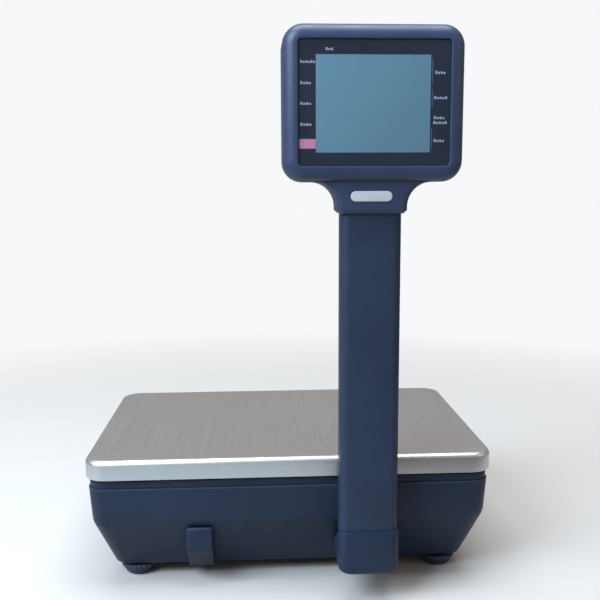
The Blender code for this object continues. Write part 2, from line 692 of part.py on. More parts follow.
def build_keys(plastic):
    console = console_frame()
    flange_top = KEY_FOOT + KEY_FLANGE
    for row in range(KEY_ROWS):
        for column_number in range(KEY_COLUMNS):
            place = key_place(row, column_number)
            key = skin([key_ring(place, KEY_FLANGE, KEY_FOOT),
                        key_ring(place, KEY_FLANGE, flange_top),
                        key_ring(place, 0.0, flange_top),
                        key_ring(place, 0.0, KEY_PROUD - KEY_EDGE),
                        key_ring(place, -KEY_EDGE, KEY_PROUD)], frame=console)
            origin = console @ Vector((*place, 0.0))
            finish(key, f"key_{row + 1}_{column_number + 1}", plastic, origin)


def build_keypad_board(laminate):
    board = centred_box(KEYPAD_SIZE[0] - 2 * BEZEL_MARGIN, KEYPAD_SIZE[1] - 2 * BEZEL_MARGIN,
                        (KEYPAD_BOARD_C - KEYPAD_BOARD_THICKNESS, KEYPAD_BOARD_C),
                        (KEYPAD_CENTRE, 0.0), console_frame())
    return finish(board, "keypad_board", laminate)


def build_spirit_level(glass):
    level = turned(((LEVEL_RADIUS, -LEVEL_DEPTH), (LEVEL_RADIUS, GAP), *LEVEL_PROFILE),
                   LEVEL_PLACE, frame=console_frame())
    return finish(level, "spirit_level", glass)


def build_main_board(laminate):
    low = FLOOR_TOP + MAIN_BOARD_LIFT + GAP
    board = centred_box(MAIN_BOARD_SIZE[0], MAIN_BOARD_SIZE[1], (low, low + MAIN_BOARD_SIZE[2]),
                        MAIN_BOARD_CENTRE)
    for x, y, size_x, size_y, height in BOARD_PARTS:
        part = centred_box(size_x, size_y,
                           (low + MAIN_BOARD_SIZE[2] / 2, low + MAIN_BOARD_SIZE[2] + height),
                           (MAIN_BOARD_CENTRE[0] + x, MAIN_BOARD_CENTRE[1] + y))
        join(board, part)
    return finish(board, "main_board", laminate)


# ---------------------------------------------------------------- side fittings

def flanged_body(body, flange, corner, frame):
    """A body let into the wall from outside, with a flange that seats on it."""
    def ring(size, grow, height):
        outline = rounded_outline(size[0] / 2 + grow, size[1] / 2 + grow, corner,
                                  steps=CORNER_STEPS)
        return at_height(outline, height)

    top = GAP + flange[2]
    return skin([ring(body, 0.0, -body[2]), ring(body, 0.0, GAP), ring(flange, 0.0, GAP),
                 ring(flange, 0.0, top - FLANGE_EDGE), ring(flange, -FLANGE_EDGE, top)],
                frame=frame)


def build_power_switch(plastic, red):
    frame = side_frame(SWITCH_Y)
    housing = flanged_body(SWITCH_BODY, SWITCH_FLANGE, SWITCH_CORNER, frame)
    cut(housing, centred_box(ROCKER_SIZE[0] + 2 * GAP, ROCKER_SIZE[1] + 2 * ROCKER_GAP,
                             (-SWITCH_WELL, OVER), frame=frame))
    finish(housing, "power_switch", plastic)

    half = ROCKER_SIZE[1] / 2
    end, middle = ROCKER_TOP
    outline = ((-half, 0.0), (-half / 2, -ROCKER_KEEL), (half / 2, -ROCKER_KEEL), (half, 0.0),
               (half, end), (0.0, middle), (-half, end))
    pivot = Matrix.Translation((0.0, 0.0, ROCKER_AXIS))
    tilt = pivot @ Matrix.Rotation(math.radians(-ROCKER_TILT), 4, "X") @ pivot.inverted()
    sides = [[Vector((a, b, c)) for b, c in outline]
             for a in (-ROCKER_SIZE[0] / 2, ROCKER_SIZE[0] / 2)]
    rocker = skin(sides, frame=frame @ tilt)
    return finish(rocker, "power_switch_rocker", red, frame @ pivot.translation)


def build_power_inlet(plastic):
    frame = side_frame(INLET_Y)
    inlet = flanged_body(INLET_BODY, INLET_FLANGE, INLET_CORNER, frame)
    cut(inlet, centred_box(INLET_SOCKET[0], INLET_SOCKET[1], (-INLET_SOCKET[2], OVER),
                           frame=frame))
    return finish(inlet, "power_inlet", plastic)


# ---------------------------------------------------------------- pole

def pole_outline(grow):
    return rounded_outline(POLE_WIDTH / 2 + grow, POLE_DEPTH / 2 + grow, POLE_CORNER + grow,
                           (POLE_X, POLE_Y))


def build_pole(paint):
    tube = column(pole_outline(0.0), POLE_BOTTOM, POLE_TOP)
    cut(tube, column(pole_outline(-POLE_WALL), POLE_BOTTOM - OVER, POLE_TOP + OVER))
    return finish(tube, "pole_tube", paint)


def build_pole_bracket(plastic):
    """A socket under the pole that stands on the sloping wall, with an arm up behind the pole."""
    half = POLE_WIDTH / 2 + GAP + BRACKET_WALL
    front = POLE_FRONT - GAP - BRACKET_WALL
    depth = FLOOR_CUSTOMER - front
    outline = rounded_outline(half, depth / 2, POLE_CORNER, (POLE_X, front + depth / 2))
    bracket = column(outline, BRACKET_BOTTOM, BRACKET_TOP)
    join(bracket, centred_box(BRACKET_ARM_WIDTH, FLOOR_CUSTOMER - POLE_BACK - GAP,
                              (BRACKET_TOP - OVER, BRACKET_ARM_TOP),
                              (POLE_X, (FLOOR_CUSTOMER + POLE_BACK + GAP) / 2)))
    heights = (0.0, CREASE_Z, BRACKET_ARM_TOP + OVER)
    wall = [(customer_wall_at(z) - GAP / math.cos(math.atan(BASE_SLOPE)), z) for z in heights]
    wall += [(PLATTER_OPERATOR, heights[-1]), (PLATTER_OPERATOR, heights[0])]
    cut(bracket, prism_along_x(wall, POLE_X - 2 * half, POLE_X + 2 * half))
    cut(bracket, column(pole_outline(GAP), POLE_BOTTOM - GAP, BRACKET_ARM_TOP + OVER))
    cut(bracket, cable_passage(POLE_Y - CABLE_BEND, FLOOR_CUSTOMER))
    cut(bracket, centred_box(CABLE_PASSAGE[0], CABLE_PASSAGE[0],
                             (CABLE_Z - CABLE_PASSAGE[1] / 2, POLE_BOTTOM + OVER),
                             (POLE_X, POLE_Y)))
    return finish(bracket, "pole_bracket", plastic)


def build_display_cable(plastic):
    """From the display board down the pole, then through the bracket into the housing."""
    top = HEAD_MIDDLE_Z - DISPLAY_BOARD_SIZE[1] / 2 - GAP
    bend_top = CABLE_Z + CABLE_BEND
    count = math.ceil((top - bend_top) / CABLE_SPACING)
    points = [(POLE_Y, top + (bend_top - top) * i / count) for i in range(count)]
    for step in range(CABLE_BEND_STEPS + 1):
        angle = math.radians(90.0 * step / CABLE_BEND_STEPS)
        points.append((POLE_Y + CABLE_BEND * (1 - math.cos(angle)),
                       bend_top - CABLE_BEND * math.sin(angle)))
    points.append((customer_wall_at(CABLE_Z) + CABLE_END_INSIDE, CABLE_Z))
    curve = bpy.data.curves.new("display_cable", "CURVE")
    curve.dimensions = "3D"
    curve.bevel_depth = CABLE_RADIUS * MM
    curve.bevel_resolution = 2
    curve.use_fill_caps = True
    line = curve.splines.new("POLY")
    line.points.add(len(points) - 1)
    for point, (y, z) in zip(line.points, points):
        point.co = (POLE_X * MM, (y + centring_shift()) * MM, z * MM, 1.0)
    curve.materials.append(plastic)
    cable = bpy.data.objects.new("display_cable", curve)
    bpy.context.scene.collection.objects.link(cable)
    return cable


# ---------------------------------------------------------------- display head

def head_ring(inset, y):
    half_x = HEAD_WIDTH / 2 - inset
    half_z = (HEAD_TOP - HEAD_BOTTOM) / 2 - inset
    outline = rounded_outline(half_x, half_z, HEAD_CORNER - inset, (POLE_X, HEAD_MIDDLE_Z))
    return [Vector((x, y, z)) for x, z in outline]


def neck_outline():
    """Half a flare from the head down to the collar, then its mirror image."""
    corner = NECK_HALF_WIDTH + NECK_FILLET
    centre_z = HEAD_BOTTOM - NECK_FILLET
    side = [(NECK_HALF_WIDTH - NECK_CHAMFER, NECK_BOTTOM),
            (NECK_HALF_WIDTH, NECK_BOTTOM + NECK_CHAMFER)]
    for step in range(ARC_STEPS + 1):
        angle = math.radians(180.0 - 90.0 * step / ARC_STEPS)
        side.append((corner + NECK_FILLET * math.cos(angle),
                     centre_z + NECK_FILLET * math.sin(angle)))
    side.append((corner, HEAD_BOTTOM + OVER))
    left = [(-x, z) for x, z in reversed(side)]
    return [(POLE_X + x, z) for x, z in side + left]


def build_head_shell(name, side, plastic):
    """One half of the head: side is -1 for the customer's half and 1 for the operator's."""
    seam = POLE_Y + side * GAP / 2
    face = POLE_Y + side * HEAD_DEPTH / 2
    rings = [head_ring(0.0, seam), head_ring(0.0, face - side * HEAD_BEVEL)]
    for step in range(1, BEVEL_STEPS + 1):
        angle = math.radians(90.0 * step / BEVEL_STEPS)
        rings.append(head_ring(HEAD_BEVEL * (1 - math.cos(angle)),
                               face - side * HEAD_BEVEL * (1 - math.sin(angle))))
    shell = skin(rings)
    neck_face = POLE_Y + side * (POLE_DEPTH / 2 + GAP + NECK_WALL)
    join(shell, prism_along_y(neck_outline(), seam, neck_face))

    sill = face - side * (WINDOW_SINK + WINDOW_THICKNESS + GAP)
    lining = sill - side * HEAD_WALL
    cut(shell, skin([head_ring(HEAD_WALL, POLE_Y - side * OVER),
                     head_ring(HEAD_WALL, face - side * HEAD_BEVEL),
                     head_ring(HEAD_WALL + HEAD_LINING_DRAW, lining)]))
    cut(shell, window_block(WINDOW_SIZE, GAP, sill, face + side * OVER))
    cut(shell, window_block(WINDOW_SIZE, -WINDOW_LEDGE, lining - side * OVER, face + side * OVER))
    cut(shell, column(pole_outline(GAP), NECK_BOTTOM - OVER, HEAD_BOTTOM + HEAD_WALL + OVER))
    return finish(shell, name, plastic)


def window_block(size, grow, low, high):
    half_x, half_z = size[0] / 2 + grow, size[1] / 2 + grow
    outline = rounded_outline(half_x, half_z, WINDOW_CORNER, (POLE_X, HEAD_MIDDLE_Z),
                              CORNER_STEPS)
    return prism_along_y(outline, min(low, high), max(low, high))


def build_display(side, owner, glass, crystal):
    """The window and the LCD behind it, on one side of the head."""
    face = POLE_Y + side * (HEAD_DEPTH / 2 - WINDOW_SINK)
    window = window_block(WINDOW_SIZE, 0.0, face, face - side * WINDOW_THICKNESS)
    finish(window, owner + "_window", glass)
    front = face - side * (WINDOW_THICKNESS + GAP)
    lcd = window_block(LCD_SIZE, 0.0, front, front - side * LCD_SIZE[2])
    finish(lcd, owner + "_lcd", crystal)


def build_display_board(laminate):
    half_x, half_z = DISPLAY_BOARD_SIZE[0] / 2, DISPLAY_BOARD_SIZE[1] / 2
    half_y = DISPLAY_BOARD_SIZE[2] / 2
    board = box((POLE_X - half_x, POLE_X + half_x), (POLE_Y - half_y, POLE_Y + half_y),
                (HEAD_MIDDLE_Z - half_z, HEAD_MIDDLE_Z + half_z))
    return finish(board, "display_board", laminate)


def main():
    remove_everything()
    navy = make_material("navy_plastic", (0.034, 0.046, 0.078), 0.48)
    black = make_material("black_plastic", (0.02, 0.02, 0.022), 0.5)
    grey = make_material("grey_key", (0.55, 0.56, 0.58), 0.5)
    red = make_material("red_plastic", (0.5, 0.03, 0.025), 0.4)
    steel = make_material("brushed_steel", (0.62, 0.6, 0.58), 0.32, 1.0)
    aluminium = make_material("aluminium", (0.7, 0.71, 0.72), 0.4, 1.0)
    rubber = make_material("rubber", (0.02, 0.02, 0.02), 0.8)
    laminate = make_material("green_laminate", (0.03, 0.16, 0.07), 0.5)
    window = make_material("dark_window", (0.02, 0.03, 0.05), 0.15)
    crystal = make_material("lcd_glass", (0.12, 0.25, 0.33), 0.2)
    level = make_material("level_fluid", (0.55, 0.75, 0.2), 0.1)

    build_lower_housing(navy)
    build_upper_housing(navy)
    build_feet(rubber, black)
    build_battery(black)
    build_battery_door(navy)
    build_battery_door_pin(steel)
    build_platter(steel)
    build_weighing_parts(aluminium, steel, rubber)
    build_keypad_bezel(black)
    build_keys(grey)
    build_keypad_board(laminate)
    build_spirit_level(level)
    build_main_board(laminate)
    build_power_switch(black, red)
    build_power_inlet(black)
    build_pole(navy)
    build_pole_bracket(navy)
    build_display_cable(black)
    build_head_shell("head_customer_shell", -1, navy)
    build_head_shell("head_operator_shell", 1, navy)
    build_display(-1, "customer", window, crystal)
    build_display(1, "operator", window, crystal)
    build_display_board(laminate)


main()
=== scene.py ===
"""Looks of a retail price scale: housing, steel platter, pole, two-sided display and keypad.

Sizes are in millimetres and become metres when a mesh is made.  x runs to the right as the
customer sees the scale, y from the customer towards the operator, and z up from the table.
Places are measured from the point on the table under the platter's middle.
"""

from math import atan, atan2, copysign, cos, pi, radians, sin, sqrt

import bmesh
import bpy
from mathutils import Matrix, Vector


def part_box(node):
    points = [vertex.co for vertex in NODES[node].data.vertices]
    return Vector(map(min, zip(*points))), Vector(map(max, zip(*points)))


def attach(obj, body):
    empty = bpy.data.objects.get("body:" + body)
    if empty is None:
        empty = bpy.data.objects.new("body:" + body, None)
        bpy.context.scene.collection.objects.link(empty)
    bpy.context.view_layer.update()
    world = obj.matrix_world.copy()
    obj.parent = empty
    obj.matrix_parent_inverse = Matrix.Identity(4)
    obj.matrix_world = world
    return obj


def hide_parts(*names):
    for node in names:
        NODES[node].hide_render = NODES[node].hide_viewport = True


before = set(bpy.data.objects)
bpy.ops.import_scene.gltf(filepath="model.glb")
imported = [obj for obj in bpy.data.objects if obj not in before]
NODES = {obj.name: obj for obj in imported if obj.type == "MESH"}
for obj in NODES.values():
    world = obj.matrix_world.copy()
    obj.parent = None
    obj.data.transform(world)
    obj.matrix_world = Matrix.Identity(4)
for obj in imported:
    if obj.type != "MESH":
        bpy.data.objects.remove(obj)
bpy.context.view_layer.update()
MM = 0.001


def measure(node):
    """A node's middle and half size in x and y, and its lowest and highest z."""
    low, high = node_box(node)
    return (((low.x + high.x) / 2, (low.y + high.y) / 2),
            ((high.x - low.x) / 2, (high.y - low.y) / 2), low.z, high.z)


def node_box(node):
    """Lowest and highest corners of a CAD node, in millimetres from under the platter."""
    low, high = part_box(node)
    return (low - PLATTER_MIDDLE) / MM, (high - PLATTER_MIDDLE) / MM


PLATTER_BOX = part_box("platter")
PLATTER_MIDDLE = Vector((0.0, (PLATTER_BOX[0].y + PLATTER_BOX[1].y) / 2, 0.0))

# ---------------------------------------------------------------- sizes
GAP = 0.4
OVER = 5.0
QUARTER = 10              # segments in a quarter turn of a large corner
SMALL_QUARTER = 5         # the same for a small corner
ROUND = 48                # segments round a turned piece

PLATTER_LOW, PLATTER_HIGH = node_box("platter")
PLATTER_HALF = ((PLATTER_HIGH.x - PLATTER_LOW.x) / 2, (PLATTER_HIGH.y - PLATTER_LOW.y) / 2)
PLATTER_SHEET = 1.5
PLATTER_CORNER = 20.0
PLATTER_FOLD = 5.0

TUB_LOW, TUB_HIGH = node_box("lower_housing")
WALL = 3.0
FLOOR_Z = TUB_LOW.z
SEAM_Z = TUB_HIGH.z
DECK_Z = node_box("upper_housing")[1].z
COVER_RISE = DECK_Z - SEAM_Z
CREASE_Z = 64.5
SEAM_HALF_WIDTH = (TUB_HIGH.x - TUB_LOW.x) / 2
BAND_TAPER = 2.0
BASE_INSET = 28.0
SIDE_INSET = 15.0
CREASE_SOFTNESS = 4.0     # how far above and below the crease its rounding reaches
FLOOR_ROUND = 3.0
HOUSING_CORNER = 15.0
SEAM_SETBACK = 1.5        # how far the cover's wall stands inside the tub's
SEAM_LINE = 0.12          # the open line between tub and cover
CONSOLE_TOP_Y = PLATTER_HALF[1] + 4.0
CONSOLE_REACH = 82.0
CONSOLE_DROP = 39.0
CONSOLE_FRONT_Y = CONSOLE_TOP_Y + CONSOLE_REACH
CONSOLE_TILT = atan2(CONSOLE_DROP, CONSOLE_REACH)
BAND_SLOPE = BAND_TAPER / (SEAM_Z - CREASE_Z)
BASE_SLOPE = BASE_INSET / (CREASE_Z - FLOOR_Z)
SIDE_SLOPE = SIDE_INSET / (CREASE_Z - FLOOR_Z)
CREASE_CUSTOMER = TUB_LOW.y + BAND_TAPER
FLOOR_CUSTOMER = CREASE_CUSTOMER + BASE_INSET

VENT_COUNT = 9
VENT_X = 46.0
VENT_Y = 100.0
VENT_PITCH = 8.0
VENT_LENGTH = 42.0
BOSS_RADIUS = 7.5
BOSS_TOP = FLOOR_Z + 26.0
PASSAGE_HALF = 8.5        # half the width of the cable's passage
PASSAGE_Z = (33.0, 47.0)

POST_CENTRE, POST_HALF, _, _ = measure("support_post")
POST_CLEARANCE = 8.0
SUPPORT_BOLTS = ((-6.0, -9.0), (6.0, -9.0), (-6.0, 9.0), (6.0, 9.0))
BUMPER_ROUND = 2.0
# How far in from the bumper's radius and how far up from its foot.
BUMPER_PROFILE = ((0.0, 0.0), (0.0, 2.0), (1.2, 2.6), (1.2, 4.0), (0.0, 4.6))

CUP_PROFILE = ((9.4, 0.0), (10.9, 0.3), (12.2, 1.2), (13.1, 2.4), (13.6, 3.5))
STUD_RADIUS = 4.0
STUD_BORE = 4.4
THREAD_PITCH = 1.25
THREAD_DEPTH = 0.45
FLUTES = 20
FLUTE_STEPS = 160

KEYPAD_CENTRE = 62.0
KEY_ROWS = 4
KEY_COLUMNS = 5
KEY_PITCH = (30.0, 18.5)
KEY_SIZE = (25.0, 14.6)
KEY_SLACK = 0.5
KEY_FLANGE = 1.2
KEY_FOOT = -(WALL + 0.6)
KEY_PROUD = 4.2
KEY_CORNER = 2.2
KEY_DISH = 0.45
SIGN_THICKNESS = 0.08
BEZEL_MARGIN = 5.0
BEZEL_LEDGE = 3.0
BEZEL_SINK = 1.2
BEZEL_THICKNESS = 2.0
KEYPAD_SIZE = (
    (KEY_COLUMNS - 1) * KEY_PITCH[0] + KEY_SIZE[0] + 2 * BEZEL_MARGIN,
    (KEY_ROWS - 1) * KEY_PITCH[1] + KEY_SIZE[1] + 2 * BEZEL_MARGIN,
)
LEVEL_PLACE = (-152.0, 20.0)
LEVEL_RADIUS = 9.0
LEVEL_OUTER = 11.5
LEVEL_INNER = 8.2
BUBBLE_RADIUS = 2.0

SIDE_FITTING_Z = 80.5
SWITCH_Y = 72.0
INLET_Y = 22.0
SWITCH_BODY = (15.5, 22.0, 18.0)
SWITCH_FLANGE = (20.0, 26.0, 1.6)
SWITCH_WELL = 7.0
ROCKER_SIZE = (10.6, 15.2)
ROCKER_GAP = 1.1
ROCKER_TILT = 10.0
INLET_BODY = (27.2, 19.6, 20.0)
INLET_FLANGE = (50.0, 23.0, 2.4)
INLET_SOCKET = (24.2, 16.6, 15.0)

POLE_LOW, POLE_HIGH = node_box("pole_tube")
POLE_X = (POLE_LOW.x + POLE_HIGH.x) / 2
POLE_Y = (POLE_LOW.y + POLE_HIGH.y) / 2
POLE_HALF = ((POLE_HIGH.x - POLE_LOW.x) / 2, (POLE_HIGH.y - POLE_LOW.y) / 2)
PASSAGE_X = (POLE_X - PASSAGE_HALF, POLE_X + PASSAGE_HALF)
POLE_WALL = 2.2
POLE_CORNER = 7.0
POLE_CROWN = 0.7
BRACKET_LOW, BRACKET_HIGH = node_box("pole_bracket")
BRACKET_TOP = 67.5

WINDOW_LOW, WINDOW_HIGH = node_box("customer_window")
HEAD_LOW, HEAD_HIGH = node_box("head_customer_shell")
HEAD_TOP = HEAD_HIGH.z
HEAD_BOTTOM = 367.5
HEAD_MIDDLE_Z = (WINDOW_LOW.z + WINDOW_HIGH.z) / 2
HEAD_HALF = ((HEAD_HIGH.x - HEAD_LOW.x) / 2, (HEAD_TOP - HEAD_BOTTOM) / 2)
HEAD_DEPTH = 2 * (POLE_Y - HEAD_LOW.y)
HEAD_CORNER = 17.0
HEAD_WALL = 2.5
HEAD_BEVEL = 11.0
NECK_HALF_WIDTH = 29.0
NECK_FILLET = 20.0
NECK_BOTTOM = HEAD_LOW.z
NECK_CHAMFER = 2.6
NECK_DEPTH = POLE_HALF[1] + GAP + 3.2
NECK_CORNER = 5.0
WINDOW_HALF = ((WINDOW_HIGH.x - WINDOW_LOW.x) / 2, (WINDOW_HIGH.z - WINDOW_LOW.z) / 2)
WINDOW_THICKNESS = WINDOW_HIGH.y - WINDOW_LOW.y
WINDOW_SINK = 1.8
WINDOW_LEDGE = 4.5
WINDOW_CORNER = 3.0
SCREEN_HALF = (45.6, 37.8)
SCREEN_OFFSET = (-1.1, -0.7)
PANE_LINE = 0.1           # the open line round a window
PRINT_THICKNESS = 0.06

DOOR_LOW, DOOR_HIGH = node_box("battery_door")
TAB_X = -83.0
DOOR_ROUND = 2.6
GRIP_RIBS = 4
GRIP_LOW = 41.5
GRIP_PITCH = 3.2
GRIP_REACH = 8.0
CORNERS = ("customer_left", "customer_right", "operator_left", "operator_right")
CASE_SCREWS = ((-120.0, 60.0), (120.0, 60.0), (-120.0, 120.0), (20.0, 150.0), (20.0, -60.0),
               (125.0, -20.0))


# ---------------------------------------------------------------- outlines and solids

def rounded(half_a, half_b, radius, centre=(0.0, 0.0), steps=QUARTER):
    """Corners of a rounded rectangle, anticlockwise, as (a, b) pairs."""
    radius = max(min(radius, half_a, half_b), 0.01)
    points = []
    for quarter, (sign_a, sign_b) in enumerate(((1, 1), (-1, 1), (-1, -1), (1, -1))):
        for step in range(steps + 1):
            angle = radians(90.0 * (quarter + step / steps))
            points.append((centre[0] + sign_a * (half_a - radius) + radius * cos(angle),
                           centre[1] + sign_b * (half_b - radius) + radius * sin(angle)))
    return points


def circle(radius, centre=(0.0, 0.0), steps=ROUND):
    turns = [2 * pi * step / steps for step in range(steps)]
    return [(centre[0] + radius * cos(t), centre[1] + radius * sin(t)) for t in turns]


def flat(outline, z):
    return [Vector((a, b, z)) for a, b in outline]


def upright(outline, y):
    """An (x, z) outline standing at y."""
    return [Vector((x, y, z)) for x, z in outline]


def arc(radius, steps, start=0.0, end=90.0):
    """Pairs (1 - cos, sin) times the radius: how far in and how far along a quarter round is."""
    turns = [radians(start + (end - start) * step / steps) for step in range(steps + 1)]
    return [(radius * (1 - cos(t)), radius * sin(t)) for t in turns]


def add(name, data):
    """A new object in the scene."""
    made = bpy.data.objects.new(name, data)
    bpy.context.scene.collection.objects.link(made)
    return made


def skin(mesh, rings, closed=False):
    """Faces through rings of equal length; closed joins the last ring to the first."""
    grid = [[mesh.verts.new(p * MM + PLATTER_MIDDLE) for p in ring] for ring in rings]
    pairs = list(zip(grid, grid[1:]))
    if closed:
        pairs.append((grid[-1], grid[0]))
    for low, high in pairs:
        for i in range(len(low)):
            j = (i + 1) % len(low)
            mesh.faces.new((low[i], low[j], high[j], high[i]))
    if not closed:
        mesh.faces.new(reversed(grid[0]))
        mesh.faces.new(grid[-1])


def to_object(mesh, name):
    bmesh.ops.recalc_face_normals(mesh, faces=mesh.faces)
    data = bpy.data.meshes.new(name)
    mesh.to_mesh(data)
    mesh.free()
    return add(name, data)


def solid(name, rings, closed=False, turn=None):
    """A closed body through rings of equal length, moved by turn."""
    mesh = bmesh.new()
    if turn:
        rings = [[turn @ p for p in ring] for ring in rings]
    skin(mesh, rings, closed)
    return to_object(mesh, name)


def turned(name, profile, place=(0.0, 0.0), steps=ROUND, turn=None, closed=False):
    """A body turned round an upright axis; the profile holds (radius, z) pairs."""
    return solid(name, [flat(circle(r, place, steps), z) for r, z in profile], closed, turn)


def cap(radius, height, low, steps):
    """Profile of a low dome; steps are angles in degrees."""
    return [(radius * cos(radians(t)), low + height * sin(radians(t))) for t in steps]


def shift(x, y, z):
    return Matrix.Translation((x, y, z))


def block(name, x, y, z, turn=None):
    outline = ((x[0], y[0]), (x[1], y[0]), (x[1], y[1]), (x[0], y[1]))
    return solid(name, [flat(outline, z[0]), flat(outline, z[1])], turn=turn)


def column(name, outline, low, high, turn=None):
    return solid(name, [flat(outline, low), flat(outline, high)], turn=turn)


def soft_column(name, outline_at, low, high, radius, turn=None, both=False):
    """A column whose top edge, and with both its bottom edge, is rounded; outline_at(inset)."""
    edge = arc(radius, SMALL_QUARTER)
    rings = [flat(outline_at(0.0), low)]
    if both:
        rings = [flat(outline_at(radius - along), low + inward) for inward, along in edge]
    rings += [flat(outline_at(inward), high - radius + along) for inward, along in edge]
    return solid(name, rings, turn=turn)


def combine(target, tool, operation):
    """Apply an exact Boolean of tool on target, and remove the tool."""
    step = target.modifiers.new("combine", "BOOLEAN")
    step.operation = operation
    step.solver = "EXACT"
    step.object = tool
    evaluated = target.evaluated_get(bpy.context.evaluated_depsgraph_get())
    data = bpy.data.meshes.new_from_object(evaluated)
    target.modifiers.clear()
    target.data = data
    bpy.data.objects.remove(tool, do_unlink=True)


def cut(target, *tools):
    for tool in tools:
        combine(target, tool, "DIFFERENCE")
    return target


def join(target, *tools):
    for tool in tools:
        combine(target, tool, "UNION")
    return target


def keep(target, tool):
    combine(target, tool, "INTERSECT")
    return target


def round_edges(target, radius, wanted, segments=3, sharpest=25.0):
    """Round the edges that turn more than sharpest degrees and whose ends wanted() accepts."""
    mesh = bmesh.new()
    mesh.from_mesh(target.data)
    bmesh.ops.remove_doubles(mesh, verts=mesh.verts, dist=0.01 * MM)
    chosen = []
    for edge in mesh.edges:
        if len(edge.link_faces) != 2:
            continue
        if edge.calc_face_angle(0.0) < radians(sharpest):
            continue
        ends = [(v.co - PLATTER_MIDDLE) / MM for v in edge.verts]
        if all(wanted(end) for end in ends):
            chosen.append(edge)
    bmesh.ops.bevel(mesh, geom=chosen, offset=radius * MM, offset_type="OFFSET",
                    segments=segments, profile=0.5, affect="EDGES", clamp_overlap=True)
    mesh.to_mesh(target.data)
    mesh.free()
    return target


def finish(piece, slot, materials, *nodes, body="base", angle=32.0):
    """Give the piece its materials and shading, hang it on the body it rides on, and hide the CAD
    nodes it stands for.
    """
    piece.data.name = piece.name
    piece.data.materials.clear()
    for material in materials if isinstance(materials, list) else [materials]:
        piece.data.materials.append(material)
    piece.data.shade_smooth()
    piece.data.set_sharp_from_angle(angle=radians(angle))
    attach(piece, body)
    if nodes:
        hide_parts(*nodes)
    return piece


# ---------------------------------------------------------------- materials

def feed(tree, socket, value):
    """Set an input, or drive it from another node's output."""
    if isinstance(value, bpy.types.NodeSocket):
        tree.links.new(value, socket)
    else:
        socket.default_value = value


def add_node(tree, kind, **inputs):
    made = tree.nodes.new("ShaderNode" + kind)
    for name, value in inputs.items():
        feed(tree, made.inputs[name.replace("_", " ")], value)
    return made


def mix_shaders(tree, factor, one, other):
    mix = add_node(tree, "MixShader", Fac=factor)
    feed(tree, mix.inputs[1], one)
    feed(tree, mix.inputs[2], other)
    return mix.outputs["Shader"]


class Recipe:
    """A Principled material with short ways to drive its sockets from procedural textures."""

    def __init__(self, name, colour, roughness, metallic=0.0, coat=0.0, shine=0.5):
        self.material = bpy.data.materials.new(name)
        self.material.use_nodes = True
        self.material.diffuse_color = (*colour, 1.0)
        self.tree = self.material.node_tree
        self.shader = self.tree.nodes["Principled BSDF"]
        for socket, value in (("Base Color", (*colour, 1.0)), ("Roughness", roughness),
                              ("Metallic", metallic), ("Coat Weight", coat),
                              ("Coat Roughness", 0.06), ("Specular IOR Level", shine)):
            self.shader.inputs[socket].default_value = value
        self.place = self.node("TexCoord").outputs["Object"]

    def node(self, kind, **inputs):
        return add_node(self.tree, kind, **inputs)

    def noise(self, scale, detail=2.0, stretch=None):
        source = self.place
        if stretch:
            source = self.node("Mapping", Vector=source, Scale=stretch).outputs["Vector"]
        return self.node("TexNoise", Vector=source, Scale=scale, Detail=detail).outputs["Fac"]

    def cells(self, scale):
        return self.node("TexVoronoi", Vector=self.place, Scale=scale).outputs["Distance"]

    def spread(self, source, low, high, start=0.3, end=0.7):
        """The source's range from start to end, mapped onto low to high."""
        return self.node("MapRange", Value=source, From_Min=start, From_Max=end, To_Min=low,
                         To_Max=high).outputs["Result"]

    def axis(self, letter):
        return self.node("SeparateXYZ", Vector=self.place).outputs[letter]

    def blend(self, factor, one, other):
        """A colour between two; each is a colour or the output of another blend."""
        mix = self.tree.nodes.new("ShaderNodeMix")
        mix.data_type = "RGBA"
        feed(self.tree, mix.inputs["Factor"], factor)
        for socket, value in ((mix.inputs[6], one), (mix.inputs[7], other)):
            feed(self.tree, socket, (*value, 1.0) if isinstance(value, tuple) else value)
        return mix.outputs[2]

    def colour(self, source):
        feed(self.tree, self.shader.inputs["Base Color"], source)

    def rough(self, source):
        feed(self.tree, self.shader.inputs["Roughness"], source)

    def bump(self, source, depth):
        """Raise the surface by the source, depth millimetres at most."""
        raised = self.node("Bump", Height=source, Distance=depth * MM)
        feed(self.tree, self.shader.inputs["Normal"], raised.outputs["Normal"])


def moulded(name, colour, roughness, grain=0.03, grain_size=1400.0, shine=0.25, painted_highlight=None):
    """Moulded plastic: a fine spark-eroded grain, faint clouding and uneven gloss.

    The last argument gives two heights; from the first to the second the colour turns paler and
    stays so above: a painted highlight along an upper edge.
    """
    made = Recipe(name, colour, roughness, shine=shine)
    clouds = made.spread(made.noise(14.0, 3.0), 0.0, 1.0)
    fine = made.spread(made.noise(grain_size, 2.0), 0.0, 0.5)
    clouded = made.blend(clouds, shade(colour, 0.86), shade(colour, 1.12))
    plain = made.blend(fine, clouded, colour)
    if painted_highlight:
        # Painted highlight: a paler colour towards the top of the band, standing in for light
        # caught by the edge.
        height = made.spread(made.axis("Z"), 0.0, 1.0, painted_highlight[0] * MM, painted_highlight[1] * MM)
        plain = made.blend(height, plain, (0.033, 0.044, 0.07))
    made.colour(plain)
    made.rough(made.spread(made.noise(60.0, 4.0), roughness - 0.05, roughness + 0.07))
    made.bump(made.noise(grain_size, 3.0), grain)
    return made.material


def shade(colour, factor):
    return tuple(min(value * factor, 1.0) for value in colour)


def brushed(name, colour, roughness, stretch, contrast=0.16, depth=0.01, variation=0.07):
    """Metal with fine lines; stretch is how fast the pattern changes along x, y and z."""
    made = Recipe(name, colour, roughness, metallic=1.0)
    lines = made.noise(1.0, 4.0, stretch)
    bands = made.noise(1.0, 2.0, tuple(value * 0.035 for value in stretch))
    shades = made.blend(made.spread(lines, 0.0, 1.0), shade(colour, 1 - contrast),
                        shade(colour, 1 + contrast))
    made.colour(made.blend(made.spread(bands, 0.0, 0.45), shades, colour))
    made.rough(made.spread(lines, roughness - variation, roughness + variation))
    made.bump(lines, depth)
    return made.material


